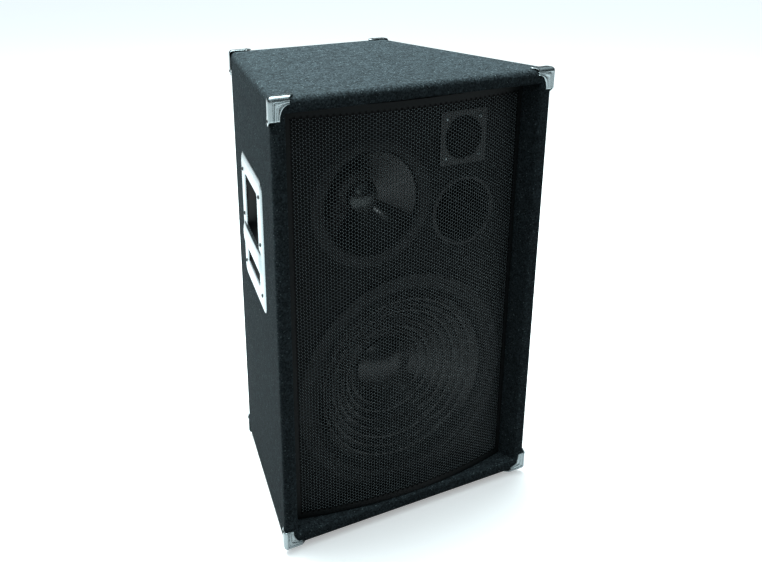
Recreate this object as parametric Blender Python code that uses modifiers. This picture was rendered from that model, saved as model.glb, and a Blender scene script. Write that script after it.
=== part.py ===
"""Three-way public address loudspeaker: a carpeted cabinet, trapezoid in plan.

Millimetre sizes are written in metres.  +Z is up, the grille faces -Y and the
origin is on the floor, under the middle of the cabinet.
"""

import math

import bmesh
import bpy
from mathutils import Matrix, Vector

# ---- driving dimensions -------------------------------------------------
GAP = 0.0003                # clearance left between two touching pieces
FOOT_HEIGHT = 0.010
BOX_HEIGHT = 0.730
FRONT_WIDTH = 0.4793
BACK_WIDTH = 0.2952
DEPTH = 0.369
BOARD = 0.018               # board thickness of the carcass
CARPET = 0.0023             # carpet surface to board surface
LINING = 0.0020             # carpet turned into the front recess
EDGE_RADIUS = 0.010         # outer rounding of the carpeted edges

BAFFLE_RECESS = 0.040       # front edge of the box to the baffle's face
GRILLE_SIDE_RECESS = 0.034  # front edge of the box to the grille's two sides
GRILLE_MID_RECESS = 0.006   # the grille bows forward in the middle
GRILLE_SHEET = 0.0012
GRILLE_CLEARANCE = 0.0010

METAL_PROUD = 0.0024        # outer face of the steel corners over the carpet
CORNER_LEG_X = 0.030
CORNER_LEG_Z = 0.033
CORNER_ARM_X = 0.015        # width of the upright arm
CORNER_ARM_Z = 0.010        # width of the level arm
CORNER_WRAP = 0.013         # how far a corner wraps round onto the next face

HANDLE_Y = 0.003            # middle of the handle plates, along and up
HANDLE_Z = 0.489
HANDLE_BASE = (0.196, 0.214)
HANDLE_FLANGE = 0.009       # run of the sloping edge of the plate
HANDLE_RAISE = 0.0026
HANDLE_SHEET = 0.0010
HANDLE_WINDOW_WIDTH = 0.117
UPPER_WINDOW = (-0.010, 0.077)    # lower and upper edge, from the plate's middle
LOWER_WINDOW = (-0.073, -0.047)
BAR_BULGE = 0.0040
DISH_MOUTH = (0.128, 0.158)
DISH_SHIFT = 0.002
DISH_DEPTH = 0.048
DISH_WALL = 0.002

WOOFER_Z = 0.236
WOOFER_RIM = 0.1935
WOOFER_CUTOUT = 0.176
MID_X, MID_Z = -0.060, 0.557
MID_RIM = 0.104
MID_CUTOUT = 0.090
TWEETER_X, TWEETER_Z = 0.100, 0.640
TWEETER_FLANGE = 0.085
TWEETER_CUTOUT = 0.0370
PORT_X, PORT_Z = 0.106, 0.519
PORT_BORE = 0.050
PORT_WALL = 0.0025
PORT_LENGTH = 0.080

TERMINAL_Z = 0.300
TERMINAL_MOUTH = (0.100, 0.064)
TERMINAL_DEPTH = 0.028
JACK_SPACING = 0.048
POLE_BORE = 0.018
FOOT_RADIUS = 0.019

BIG, MEDIUM, SMALL = 36, 28, 20    # facets of a turned piece

# ---- derived places -----------------------------------------------------
TAPER = math.atan((FRONT_WIDTH - BACK_WIDTH) / 2 / DEPTH)
FRONT_Y, BACK_Y = -DEPTH / 2, DEPTH / 2
BOX_BOTTOM = FOOT_HEIGHT
BOX_TOP = FOOT_HEIGHT + BOX_HEIGHT
INNER = CARPET + BOARD                  # carpet surface to the inside of a board
INNER_BOTTOM, INNER_TOP = BOX_BOTTOM + INNER, BOX_TOP - INNER
BAFFLE_FRONT = FRONT_Y + BAFFLE_RECESS
BAFFLE_BACK = BAFFLE_FRONT + BOARD
BACK_INNER = BACK_Y - INNER


def half_width(y, inset=0.0):
    """Half of the cabinet's width at depth y, drawn in by inset."""
    return FRONT_WIDTH / 2 - (y - FRONT_Y) * math.tan(TAPER) - inset / math.cos(TAPER)


def plan(y0, y1, inset):
    """Trapezoid in plan between two depths, drawn in from both sides."""
    return [(-half_width(y0, inset), y0), (half_width(y0, inset), y0),
            (half_width(y1, inset), y1), (-half_width(y1, inset), y1)]


# ---- scene, materials and shape helpers ---------------------------------
def clear_scene():
    for obj in list(bpy.data.objects):
        bpy.data.objects.remove(obj, do_unlink=True)


clear_scene()
PARTS = bpy.data.collections.new("pa_speaker_cabinet")
CUTTERS = bpy.data.collections.new("cutters")
bpy.context.scene.collection.children.link(PARTS)
bpy.context.scene.collection.children.link(CUTTERS)


def material(name, colour, roughness, metallic=0.0):
    mat = bpy.data.materials.new(name)
    mat.use_nodes = True
    shader = mat.node_tree.nodes["Principled BSDF"]
    shader.inputs["Base Color"].default_value = (*colour, 1.0)
    shader.inputs["Roughness"].default_value = roughness
    shader.inputs["Metallic"].default_value = metallic
    mat.diffuse_color = (*colour, 1.0)
    return mat


CARPET_BLACK = material("carpet_felt", (0.035, 0.042, 0.045), 0.95)
BOARD_BROWN = material("particle_board", (0.46, 0.33, 0.20), 0.85)
BAFFLE_BLACK = material("baffle_paint", (0.02, 0.02, 0.02), 0.7)
ZINC = material("zinc_plated_steel", (0.72, 0.74, 0.74), 0.32, 1.0)
BLACK_STEEL = material("black_steel", (0.025, 0.027, 0.028), 0.45, 0.6)
BARE_STEEL = material("bare_steel", (0.50, 0.50, 0.49), 0.40, 1.0)
BLACK_PLASTIC = material("black_plastic", (0.015, 0.015, 0.016), 0.45)
PAPER = material("pressed_paper", (0.03, 0.03, 0.03), 0.75)
CLOTH = material("doped_cloth", (0.04, 0.035, 0.03), 0.6)
FERRITE = material("ferrite", (0.06, 0.06, 0.065), 0.7)
COPPER = material("enamelled_copper", (0.60, 0.26, 0.12), 0.35, 1.0)
BOARD_GREEN = material("circuit_board", (0.05, 0.16, 0.08), 0.5)
FOIL_FILM = material("capacitor_sleeve", (0.10, 0.14, 0.30), 0.4)
RUBBER = material("rubber", (0.02, 0.02, 0.02), 0.8)
WOOL = material("damping_wool", (0.62, 0.60, 0.55), 1.0)
RED_PVC = material("cable_sleeve", (0.35, 0.03, 0.03), 0.5)


def add_object(name, mesh, mat, collection=PARTS):
    obj = bpy.data.objects.new(name, mesh)
    collection.objects.link(obj)
    if mat is not None:
        mesh.materials.clear()
        mesh.materials.append(mat)
    if collection is CUTTERS:
        obj.hide_render = True
        obj.display_type = "WIRE"
    return obj


def finish_bmesh(bm, name):
    mesh = bpy.data.meshes.new(name)
    bmesh.ops.recalc_face_normals(bm, faces=bm.faces)
    bm.to_mesh(mesh)
    bm.free()
    return mesh


def evaluated_mesh(obj, name):
    """Mesh of a curve, or of an object with its modifiers, with its doubles merged."""
    bpy.context.view_layer.update()
    graph = bpy.context.evaluated_depsgraph_get()
    mesh = bpy.data.meshes.new_from_object(obj.evaluated_get(graph))
    bm = bmesh.new()
    bm.from_mesh(mesh)
    bmesh.ops.remove_doubles(bm, verts=bm.verts, dist=0.00001)
    bm.to_mesh(mesh)
    bm.free()
    mesh.name = name
    return mesh


def flat_prism(name, outline, low, high, mat=None, collection=CUTTERS):
    """A flat outline in X and Y, extruded from height low to height high."""
    curve = bpy.data.curves.new(name, "CURVE")
    curve.dimensions = "2D"
    curve.fill_mode = "BOTH"
    curve.extrude = (high - low) / 2
    spline = curve.splines.new("POLY")
    spline.points.add(len(outline) - 1)
    for point, (x, y) in zip(spline.points, outline):
        point.co = (x, y, 0, 1)
    spline.use_cyclic_u = True
    flat = bpy.data.objects.new(name + "_outline", curve)
    CUTTERS.objects.link(flat)
    mesh = evaluated_mesh(flat, name)
    bpy.data.objects.remove(flat, do_unlink=True)
    bm = bmesh.new()
    bm.from_mesh(mesh)
    bmesh.ops.translate(bm, verts=bm.verts, vec=(0, 0, (low + high) / 2))
    bmesh.ops.recalc_face_normals(bm, faces=bm.faces)
    bm.to_mesh(mesh)
    bm.free()
    return add_object(name, mesh, mat, collection)


def block(name, low, high, mat=None, collection=CUTTERS):
    """A box between two opposite corners."""
    low, high = Vector(low), Vector(high)
    bm = bmesh.new()
    bmesh.ops.create_cube(bm, size=1.0)
    bmesh.ops.scale(bm, verts=bm.verts, vec=high - low)
    bmesh.ops.translate(bm, verts=bm.verts, vec=(low + high) / 2)
    return add_object(name, finish_bmesh(bm, name), mat, collection)


def rounded_slab(name, base, top, x_base, x_top, radius, mat=None, collection=CUTTERS):
    """Round-cornered slab in Y and Z that narrows from base size to top size along X."""
    bm = bmesh.new()
    bmesh.ops.create_cube(bm, size=1.0)
    bmesh.ops.scale(bm, verts=bm.verts, vec=(abs(x_top - x_base), base[0], base[1]))
    bmesh.ops.translate(bm, verts=bm.verts, vec=((x_top + x_base) / 2, 0, 0))
    depth_edges = [e for e in bm.edges if abs(e.verts[0].co.x - e.verts[1].co.x) > 1e-5]
    bmesh.ops.bevel(bm, geom=depth_edges, offset=radius, segments=3, profile=0.5,
                    affect="EDGES", material=-1)
    for vert in bm.verts:
        if abs(vert.co.x - x_top) < 1e-6:
            vert.co.y *= top[0] / base[0]
            vert.co.z *= top[1] / base[1]
    return add_object(name, finish_bmesh(bm, name), mat, collection)


def turned(name, profile, facets, mat, collection=PARTS, closed=True):
    """Solid turned about Z from (radius, height) points, clockwise seen with +Z up."""
    mesh = bpy.data.meshes.new(name)
    verts = [(radius, 0, height) for radius, height in profile]
    edges = [(i, i + 1) for i in range(len(verts) - 1)]
    if closed:
        edges.append((len(verts) - 1, 0))
    mesh.from_pydata(verts, edges, [])
    obj = add_object(name, mesh, mat, collection)
    screw = obj.modifiers.new("turn", "SCREW")
    screw.axis = "Z"
    screw.steps = screw.render_steps = facets
    screw.use_merge_vertices = True
    screw.merge_threshold = 0.00005
    screw.use_smooth_shade = True
    return obj


def strip(line, thickness):
    """Closed profile of a thin turned skin that follows a line of (radius, height) points."""
    upper = [(r, z + thickness / 2) for r, z in line]
    lower = [(r, z - thickness / 2) for r, z in reversed(line)]
    return upper + lower


def bevel(obj, width, segments):
    mod = obj.modifiers.new("rounding", "BEVEL")
    mod.width = width
    mod.segments = segments
    mod.limit_method = "ANGLE"
    mod.angle_limit = math.radians(40)


def boolean(obj, other, operation="DIFFERENCE"):
    mod = obj.modifiers.new(other.name, "BOOLEAN")
    mod.operation = operation
    mod.solver = "EXACT"
    mod.object = other


def face_forward(obj, x, z, y=BAFFLE_FRONT):
    """Stand a turned piece on the baffle with its own +Z towards the listener."""
    obj.location = (x, y, z)
    obj.rotation_euler = (math.radians(90), 0, 0)
    return obj


def envelope(name, inset, collection=CUTTERS, mat=None):
    """The whole cabinet's rounded outer form, drawn in by inset."""
    outline = plan(FRONT_Y + inset, BACK_Y - inset, inset)
    body = flat_prism(name, outline, BOX_BOTTOM + inset, BOX_TOP - inset, mat, collection)
    bevel(body, EDGE_RADIUS - inset, 3)
    return body


# ---- carcass ------------------------------------------------------------
def handle_cutter(side):
    """Round-cornered cut-out in the side wall for one handle dish."""
    size = (DISH_MOUTH[0] + 2 * DISH_WALL + 0.002, DISH_MOUTH[1] + 2 * DISH_WALL + 0.002)
    cutter = rounded_slab(f"handle_cutout_{side}", size, size, -0.030, 0.010, 0.014)
    return place_on_side(cutter, side, DISH_SHIFT)


def place_on_side(obj, side, rise=0.0):
    """Put a piece on a slanting side wall: its own +X points straight out of the wall."""
    sign = -1 if side == "left" else 1
    turn = math.pi - TAPER if side == "left" else TAPER
    obj.location = (sign * half_width(HANDLE_Y), HANDLE_Y, HANDLE_Z + rise)
    obj.rotation_euler = (0, 0, turn)
    return obj


def round_cutter(name, radius, x, z, y0, y1, facets=BIG):
    cutter = turned(name, [(0, y1 - y0), (radius, y1 - y0), (radius, 0), (0, 0)],
                    facets, None, CUTTERS, closed=False)
    cutter.location = (x, y1, z)
    cutter.rotation_euler = (math.radians(90), 0, 0)
    return cutter


def pole_cutter():
    hole = POLE_BORE + 0.0032
    cutter = turned("pole_hole", [(0, 0.06), (hole, 0.06), (hole, 0), (0, 0)],
                    SMALL, None, CUTTERS, closed=False)
    return cutter


def terminal_cutter():
    width = TERMINAL_MOUTH[0] + 0.006
    height = TERMINAL_MOUTH[1] + 0.006
    return block("terminal_hole", (-width / 2, BACK_INNER - 0.01, TERMINAL_Z - height / 2),
                 (width / 2, BACK_Y + 0.01, TERMINAL_Z + height / 2))


def panel(name, outline, low, high, cutters=()):
    """A board: the part of the rounded carcass that lies inside one prism."""
    board = envelope(name, CARPET, PARTS, BOARD_BROWN)
    boolean(board, flat_prism(name + "_zone", outline, low, high), "INTERSECT")
    for cutter in cutters:
        boolean(board, cutter)
    return board


def build_carcass():
    far = 0.05
    whole = plan(FRONT_Y - far, BACK_Y + far, -far)
    panel("top_panel", whole, INNER_TOP, BOX_TOP + far)
    panel("bottom_panel", whole, BOX_BOTTOM - far, INNER_BOTTOM, [pole_cutter()])
    low, high = INNER_BOTTOM + GAP, INNER_TOP - GAP
    for side, sign in (("left", -1), ("right", 1)):
        outline = [(sign * half_width(FRONT_Y - far, INNER), FRONT_Y - far),
                   (sign * half_width(BACK_Y + far, INNER), BACK_Y + far),
                   (sign * half_width(BACK_Y + far, -far), BACK_Y + far),
                   (sign * half_width(FRONT_Y - far, -far), FRONT_Y - far)]
        panel(f"{side}_side_panel", outline, low, high, [HANDLE_CUTS[side]])
    back = flat_prism("back_panel", plan(BACK_INNER, BACK_Y - CARPET, INNER + GAP),
                      low, high, BOARD_BROWN, PARTS)
    boolean(back, TERMINAL_CUT)


def build_baffle():
    baffle = flat_prism("front_baffle", plan(BAFFLE_FRONT, BAFFLE_BACK, INNER + GAP),
                        INNER_BOTTOM + GAP, INNER_TOP - GAP, BAFFLE_BLACK, PARTS)
    holes = (("woofer_hole", WOOFER_CUTOUT, 0, WOOFER_Z), ("mid_hole", MID_CUTOUT, MID_X, MID_Z),
             ("tweeter_hole", TWEETER_CUTOUT, TWEETER_X, TWEETER_Z),
             ("port_hole", PORT_BORE + PORT_WALL + GAP, PORT_X, PORT_Z))
    for name, radius, x, z in holes:
        boolean(baffle, round_cutter(name, radius, x, z, BAFFLE_FRONT - 0.01, BAFFLE_BACK + 0.01))
    for side, sign in (("left", -1), ("right", 1)):
        near, far = BAFFLE_BACK + GAP, BAFFLE_BACK + 0.020
        edge_near, edge_far = half_width(near, INNER + GAP), half_width(far, INNER + GAP)
        outline = [(sign * edge_near, near), (sign * edge_far, far),
                   (sign * (edge_far - 0.018), far), (sign * (edge_far - 0.018), near)]
        flat_prism(f"baffle_batten_{side}", outline, INNER_BOTTOM + 0.02, INNER_TOP - 0.02,
                   BOARD_BROWN, PARTS)
    flat_prism("cross_brace", plan(0.095, 0.113, INNER + GAP), 0.345, 0.385, BOARD_BROWN, PARTS)


def build_carpet():
    """One glued skin: it wraps the box and turns in over the front edges of the boards."""
    recess_end = BAFFLE_FRONT - GAP
    lining_outside = flat_prism("lining_zone", plan(FRONT_Y - 0.02, recess_end, INNER + GAP),
                                INNER_BOTTOM + GAP, INNER_TOP - GAP)
    core = envelope("carpet_core", CARPET - GAP)
    boolean(core, lining_outside)
    inset = INNER + GAP + LINING
    recess = flat_prism("recess_zone", plan(FRONT_Y - 0.03, recess_end + 0.001, inset),
                        INNER_BOTTOM + GAP + LINING, INNER_TOP - GAP - LINING)
    carpet = envelope("carpet_cover", 0.0, PARTS, CARPET_BLACK)
    for cutter in (core, recess, *HANDLE_CUTS.values(), TERMINAL_CUT, bpy.data.objects["pole_hole"]):
        boolean(carpet, cutter)


# ---- grille -------------------------------------------------------------
def build_grille():
    side_y = FRONT_Y + GRILLE_SIDE_RECESS
    chord = half_width(side_y, INNER + GAP + LINING) - GRILLE_CLEARANCE
    sagitta = GRILLE_SIDE_RECESS - GRILLE_MID_RECESS
    radius = (chord ** 2 + sagitta ** 2) / (2 * sagitta)
    centre_y = FRONT_Y + GRILLE_MID_RECESS + radius
    sweep = math.asin(chord / radius)
    steps = 14
    angles = [sweep * (2 * i / steps - 1) for i in range(steps + 1)]
    front = [(radius * math.sin(a), centre_y - radius * math.cos(a)) for a in angles]
    inner = radius - GRILLE_SHEET
    back = [(inner * math.sin(a), centre_y - inner * math.cos(a)) for a in reversed(angles)]
    low = INNER_BOTTOM + GAP + LINING + GRILLE_CLEARANCE
    high = INNER_TOP - GAP - LINING - GRILLE_CLEARANCE
    flat_prism("grille", front + back, low, high, BLACK_STEEL, PARTS)
    rail_front = side_y + GRILLE_SHEET + GAP
    for side, sign in (("left", -1), ("right", 1)):
        ends = sorted((sign * (chord - 0.0115), sign * (chord - 0.0025)))
        block(f"grille_rail_{side}", (ends[0], rail_front, low + 0.01),
              (ends[1], BAFFLE_FRONT - GAP, high - 0.01), BLACK_PLASTIC, PARTS)


# ---- steel corners ------------------------------------------------------
def corner_outline(edge_x, edge_z, arc_steps=5):
    """L-shaped front view of a corner at the top left: two arms and a hollow curve between."""
    outer = 0.02
    points = [(edge_x - outer, edge_z + outer), (edge_x + CORNER_LEG_X, edge_z + outer)]
    for i in range(arc_steps + 1):
        angle = math.pi / 2 * i / arc_steps
        run = (CORNER_LEG_X - CORNER_ARM_X) * math.sin(angle)
        fall = (CORNER_LEG_Z - CORNER_ARM_Z) * math.cos(angle)
        points.append((edge_x + CORNER_LEG_X - run, edge_z - CORNER_LEG_Z + fall))
    points.append((edge_x - outer, edge_z - CORNER_LEG_Z))
    return points


def corner_master(name, y_edge, y_inward):
    """The top left corner at the front or the back: a thin shell cut from two envelopes."""
    outline = corner_outline(-half_width(y_edge, 0), BOX_TOP)
    low, high = sorted((y_edge - y_inward * 0.02, y_edge + y_inward * CORNER_WRAP))
    zone = flat_prism(name + "_zone", outline, -high, -low)
    zone.rotation_euler = (math.radians(90), 0, 0)
    shell = envelope(name, -METAL_PROUD, PARTS, ZINC)
    boolean(shell, zone, "INTERSECT")
    boolean(shell, METAL_CORE)
    return shell


def mirrored_copy(source, name, flip_x, flip_z):
    """A copy of a piece mirrored across the middle of the cabinet."""
    mesh = evaluated_mesh(source, name)
    bm = bmesh.new()
    bm.from_mesh(mesh)
    middle = (BOX_BOTTOM + BOX_TOP) / 2
    scale = Matrix.Diagonal((-1 if flip_x else 1, 1, -1 if flip_z else 1, 1))
    about = Matrix.Translation((0, 0, middle)) @ scale @ Matrix.Translation((0, 0, -middle))
    bmesh.ops.transform(bm, matrix=about, verts=bm.verts)
    if flip_x != flip_z:
        bmesh.ops.reverse_faces(bm, faces=bm.faces)
    bm.to_mesh(mesh)
    bm.free()
    return add_object(name, mesh, ZINC)


def build_corners():
    for end, y_edge, inward in (("front", FRONT_Y, 1), ("back", BACK_Y, -1)):
        master = corner_master(f"corner_{end}_top_left", y_edge, inward)
        mirrored_copy(master, f"corner_{end}_top_right", True, False)
        mirrored_copy(master, f"corner_{end}_bottom_left", False, True)
        mirrored_copy(master, f"corner_{end}_bottom_right", True, True)


# ---- handles ------------------------------------------------------------
def window_cutter(name, side, span):
    height = span[1] - span[0]
    cutter = rounded_slab(name, (HANDLE_WINDOW_WIDTH, height), (HANDLE_WINDOW_WIDTH, height),
                          -0.002, 0.012, 0.005)
    return place_on_side(cutter, side, (span[0] + span[1]) / 2)


def build_handle(side):
    top = (HANDLE_BASE[0] - 2 * HANDLE_FLANGE, HANDLE_BASE[1] - 2 * HANDLE_FLANGE)
    under = HANDLE_RAISE - HANDLE_SHEET
    inside = [size - 2 * HANDLE_SHEET for size in (*HANDLE_BASE, *top)]
    plate = rounded_slab(f"handle_plate_{side}", HANDLE_BASE, top, GAP, HANDLE_RAISE, 0.016,
                         ZINC, PARTS)
    place_on_side(plate, side)
    hollow = rounded_slab(f"handle_hollow_{side}", inside[:2], inside[2:], GAP - 0.0004, under,
                          0.0145)
    boolean(plate, place_on_side(hollow, side))
    boolean(plate, window_cutter(f"upper_window_{side}", side, UPPER_WINDOW))
    boolean(plate, window_cutter(f"lower_window_{side}", side, LOWER_WINDOW))
    boolean(plate, grip_bar(side), "UNION")

    mouth_outside = [size + 2 * DISH_WALL for size in DISH_MOUTH]
    floor_inside = [size - 0.020 for size in DISH_MOUTH]
    floor_outside = [size + 2 * DISH_WALL for size in floor_inside]
    rim = [size + 0.014 for size in DISH_MOUTH]
    dish = rounded_slab(f"handle_dish_{side}", rim, rim, GAP, GAP + 0.001, 0.012,
                        BLACK_PLASTIC, PARTS)
    place_on_side(dish, side, DISH_SHIFT)
    bowl = rounded_slab(f"dish_bowl_{side}", mouth_outside, floor_outside, GAP + 0.0007,
                        -DISH_DEPTH, 0.012)
    boolean(dish, place_on_side(bowl, side, DISH_SHIFT), "UNION")
    hollow = rounded_slab(f"dish_hollow_{side}", DISH_MOUTH, floor_inside, GAP + 0.004,
                          -DISH_DEPTH + DISH_WALL, 0.010)
    boolean(dish, place_on_side(hollow, side, DISH_SHIFT))


def grip_bar(side):
    """Bulging bar between the two windows: oval in section, with a flat underside."""
    width = UPPER_WINDOW[0] - LOWER_WINDOW[1]
    bm = bmesh.new()
    bmesh.ops.create_cone(bm, cap_ends=True, segments=16, radius1=1, radius2=1, depth=1)
    bmesh.ops.rotate(bm, verts=bm.verts, cent=(0, 0, 0), matrix=Matrix.Rotation(math.pi / 2, 3, "X"))
    length = HANDLE_WINDOW_WIDTH + 0.034
    bmesh.ops.scale(bm, verts=bm.verts, vec=(BAR_BULGE, length, width / 2))
    bmesh.ops.translate(bm, verts=bm.verts, vec=(HANDLE_RAISE, 0, 0))
    underside = HANDLE_RAISE - 0.8 * HANDLE_SHEET
    for vert in bm.verts:
        vert.co.x = max(vert.co.x, underside)
    bar = add_object(f"grip_bar_{side}", finish_bmesh(bm, f"grip_bar_{side}"), None, CUTTERS)
    return place_on_side(bar, side, (UPPER_WINDOW[0] + LOWER_WINDOW[1]) / 2)


# ---- woofer -------------------------------------------------------------
def cone_line(neck, rim, depth, lip, power, steps=6):
    """Front of a cone from neck to rim: lip is the depth of its rim under the baffle's face."""
    line = []
    for i in range(steps + 1):
        radius = neck + (rim - neck) * i / steps
        line.append((radius, -depth + (depth - lip) * ((radius - neck) / (rim - neck)) ** power))
    return line


def dome(radius, edge, crown, thickness, steps=4):
    """Open profile of a domed cap, from its crown down the front and back up behind."""
    front, back = [], []
    for i in range(steps + 1):
        angle = math.pi / 2 * i / steps
        front.append((radius * math.sin(angle), edge + (crown - edge) * math.cos(angle)))
        back.append((radius * math.sin(angle), edge - thickness + (crown - edge) * math.cos(angle)))
    back[-1] = (radius - thickness, edge - thickness)
    return front + back[::-1]


WOOFER_NECK, WOOFER_CONE_RIM = 0.033, 0.155
WOOFER_CONE_DEPTH = 0.078
WOOFER_COIL = (0.0313, 0.0322)
WOOFER_PLATE_TOP = -0.098


def build_woofer():
    spot = (0, WOOFER_Z)
    frame = turned("woofer_frame", [
        (0.1725, 0.0020), (WOOFER_RIM, 0.0020), (WOOFER_RIM, GAP), (0.1745, GAP),
        (0.1745, -0.014), (0.1000, -0.084), (0.0760, -0.086), (0.0760, -0.0977),
        (0.0560, -0.0977), (0.0560, -0.0960), (0.0740, -0.0960), (0.0740, -0.0842),
        (0.0980, -0.0820), (0.1725, -0.0130)], BIG, BLACK_STEEL)
    boolean(face_forward(frame, *spot), basket_windows())
    gasket = turned("woofer_gasket", [
        (0.1780, 0.0053), (0.1925, 0.0053), (0.1925, 0.0023), (0.1780, 0.0023)], BIG, RUBBER)
    surround = turned("woofer_surround", strip([
        (0.1556, -0.0026), (0.1595, 0.0016), (0.1635, -0.0010), (0.1675, 0.0022),
        (0.1715, 0.0030), (0.1775, 0.0030)], 0.0012), BIG, CLOTH)
    line = cone_line(WOOFER_NECK, WOOFER_CONE_RIM, WOOFER_CONE_DEPTH, 0.003, 0.92)
    cone = turned("woofer_cone", strip(line, 0.0014), BIG, PAPER)
    cap = turned("woofer_dust_cap", dome(0.050, -0.0635, -0.046, 0.0010), MEDIUM, PAPER,
                 closed=False)
    coil = turned("woofer_voice_coil", [
        (WOOFER_COIL[0], -0.0735), (WOOFER_COIL[1], -0.0735), (WOOFER_COIL[1], -0.109),
        (WOOFER_COIL[0], -0.109)], MEDIUM, COPPER)
    spider = turned("woofer_spider", strip([
        (0.0327, -0.0840), (0.0410, -0.0825), (0.0490, -0.0855), (0.0570, -0.0825),
        (0.0650, -0.0855), (0.0735, -0.0840)], 0.0010), MEDIUM, CLOTH)
    top = WOOFER_PLATE_TOP
    plate = turned("woofer_top_plate", [
        (0.0333, top), (0.0700, top), (0.0700, top - 0.008), (0.0333, top - 0.008)],
        MEDIUM, BARE_STEEL)
    magnet_top = top - 0.008 - GAP
    magnet = turned("woofer_magnet", [
        (0.042, magnet_top), (0.078, magnet_top), (0.078, magnet_top - 0.020),
        (0.042, magnet_top - 0.020)], BIG, FERRITE)
    yoke_top = magnet_top - 0.020 - GAP
    yoke = turned("woofer_pole_plate", [
        (0.008, top), (0.0302, top), (0.0302, yoke_top), (0.0700, yoke_top),
        (0.0700, yoke_top - 0.008), (0.008, yoke_top - 0.008)], MEDIUM, BARE_STEEL)
    for piece in (gasket, surround, cone, cap, coil, spider, plate, magnet, yoke):
        face_forward(piece, *spot)


def basket_windows():
    """Six openings between the spokes of the woofer's basket, as one cutter."""
    bm = bmesh.new()
    for i in range(6):
        bar = bmesh.ops.create_cube(bm, size=1.0)["verts"]
        bmesh.ops.scale(bm, verts=bar, vec=(0.080, 0.066, 0.050))
        bmesh.ops.translate(bm, verts=bar, vec=(0.142, 0, -0.0480))
        turn = Matrix.Rotation(math.radians(60 * i + 30), 3, "Z")
        bmesh.ops.rotate(bm, verts=bar, cent=(0, 0, 0), matrix=turn)
    cutter = add_object("basket_windows", finish_bmesh(bm, "basket_windows"), None, CUTTERS)
    return face_forward(cutter, 0, WOOFER_Z)


# ---- midrange, tweeter and port -----------------------------------------
def build_midrange():
    frame = turned("mid_frame", [
        (0.0875, 0.0020), (MID_RIM, 0.0020), (MID_RIM, GAP), (0.0890, GAP),
        (0.0890, -0.0080), (0.0420, -0.0430), (0.0300, -0.0440), (0.0300, -0.0497),
        (0.0200, -0.0497), (0.0200, -0.0485), (0.0285, -0.0485), (0.0285, -0.0425),
        (0.0410, -0.0412), (0.0875, -0.0070)], MEDIUM, BLACK_STEEL)
    surround = turned("mid_surround", strip([
        (0.0783, -0.0026), (0.0815, 0.0012), (0.0850, 0.0030), (0.0915, 0.0030)], 0.0010),
        MEDIUM, CLOTH)
    line = cone_line(0.0138, 0.0778, 0.038, 0.003, 0.85, steps=5)
    cone = turned("mid_cone", strip(line, 0.0010), MEDIUM, PAPER)
    cap = turned("mid_dust_cap", dome(0.0240, -0.0262, -0.0170, 0.0008), SMALL, BARE_STEEL,
                 closed=False)
    coil = turned("mid_voice_coil", [
        (0.0125, -0.0355), (0.0133, -0.0355), (0.0133, -0.0620), (0.0125, -0.0620)],
        SMALL, COPPER)
    magnet = turned("mid_magnet", [
        (0, -0.0500), (0.0118, -0.0500), (0.0118, -0.0680), (0.0142, -0.0680),
        (0.0142, -0.0500), (0.0450, -0.0500), (0.0450, -0.0550), (0.0500, -0.0550),
        (0.0500, -0.0690), (0.0450, -0.0690), (0.0450, -0.0740), (0, -0.0740)],
        MEDIUM, FERRITE, closed=False)
    rear = -BOARD - GAP
    chamber = turned("mid_back_chamber", [
        (0.0910, rear), (0.0935, rear), (0.0935, -0.0810), (0, -0.0810), (0, -0.0785),
        (0.0910, -0.0785)], MEDIUM, BLACK_PLASTIC)
    for piece in (frame, surround, cone, cap, coil, magnet, chamber):
        face_forward(piece, MID_X, MID_Z)


def build_tweeter():
    """Horn with a square mouth plate: a turned flare behind it and a piezo element at the end."""
    horn = turned("tweeter_horn", [(0, 0.002), (0.0365, 0.002), (0.0365, -0.020),
                                   (0.0150, -0.048), (0, -0.048)], MEDIUM, BLACK_PLASTIC,
                  closed=False)
    face_forward(horn, TWEETER_X, TWEETER_Z)
    half = TWEETER_FLANGE / 2
    plate = block("horn_plate", (TWEETER_X - half, BAFFLE_FRONT - GAP - 0.003, TWEETER_Z - half),
                  (TWEETER_X + half, BAFFLE_FRONT - GAP, TWEETER_Z + half))
    boolean(horn, plate, "UNION")
    flare = turned("horn_flare", [(0, 0.006), (0.0340, 0.006), (0.0300, -0.008),
                                  (0.0160, -0.026), (0.0080, -0.045), (0, -0.045)],
                   MEDIUM, None, CUTTERS, closed=False)
    boolean(horn, face_forward(flare, TWEETER_X, TWEETER_Z))
    element = turned("tweeter_piezo_driver", [
        (0, -0.0483), (0.0220, -0.0483), (0.0220, -0.0600), (0, -0.0600)], SMALL,
        BLACK_PLASTIC, closed=False)
    face_forward(element, TWEETER_X, TWEETER_Z)


def build_port():
    outer = PORT_BORE + PORT_WALL
    tube = turned("port_tube", [
        (PORT_BORE, 0.0033), (0.0580, 0.0033), (0.0590, GAP), (outer, GAP),
        (outer, -PORT_LENGTH), (PORT_BORE, -PORT_LENGTH)], MEDIUM, BLACK_PLASTIC)
    face_forward(tube, PORT_X, PORT_Z)


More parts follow.
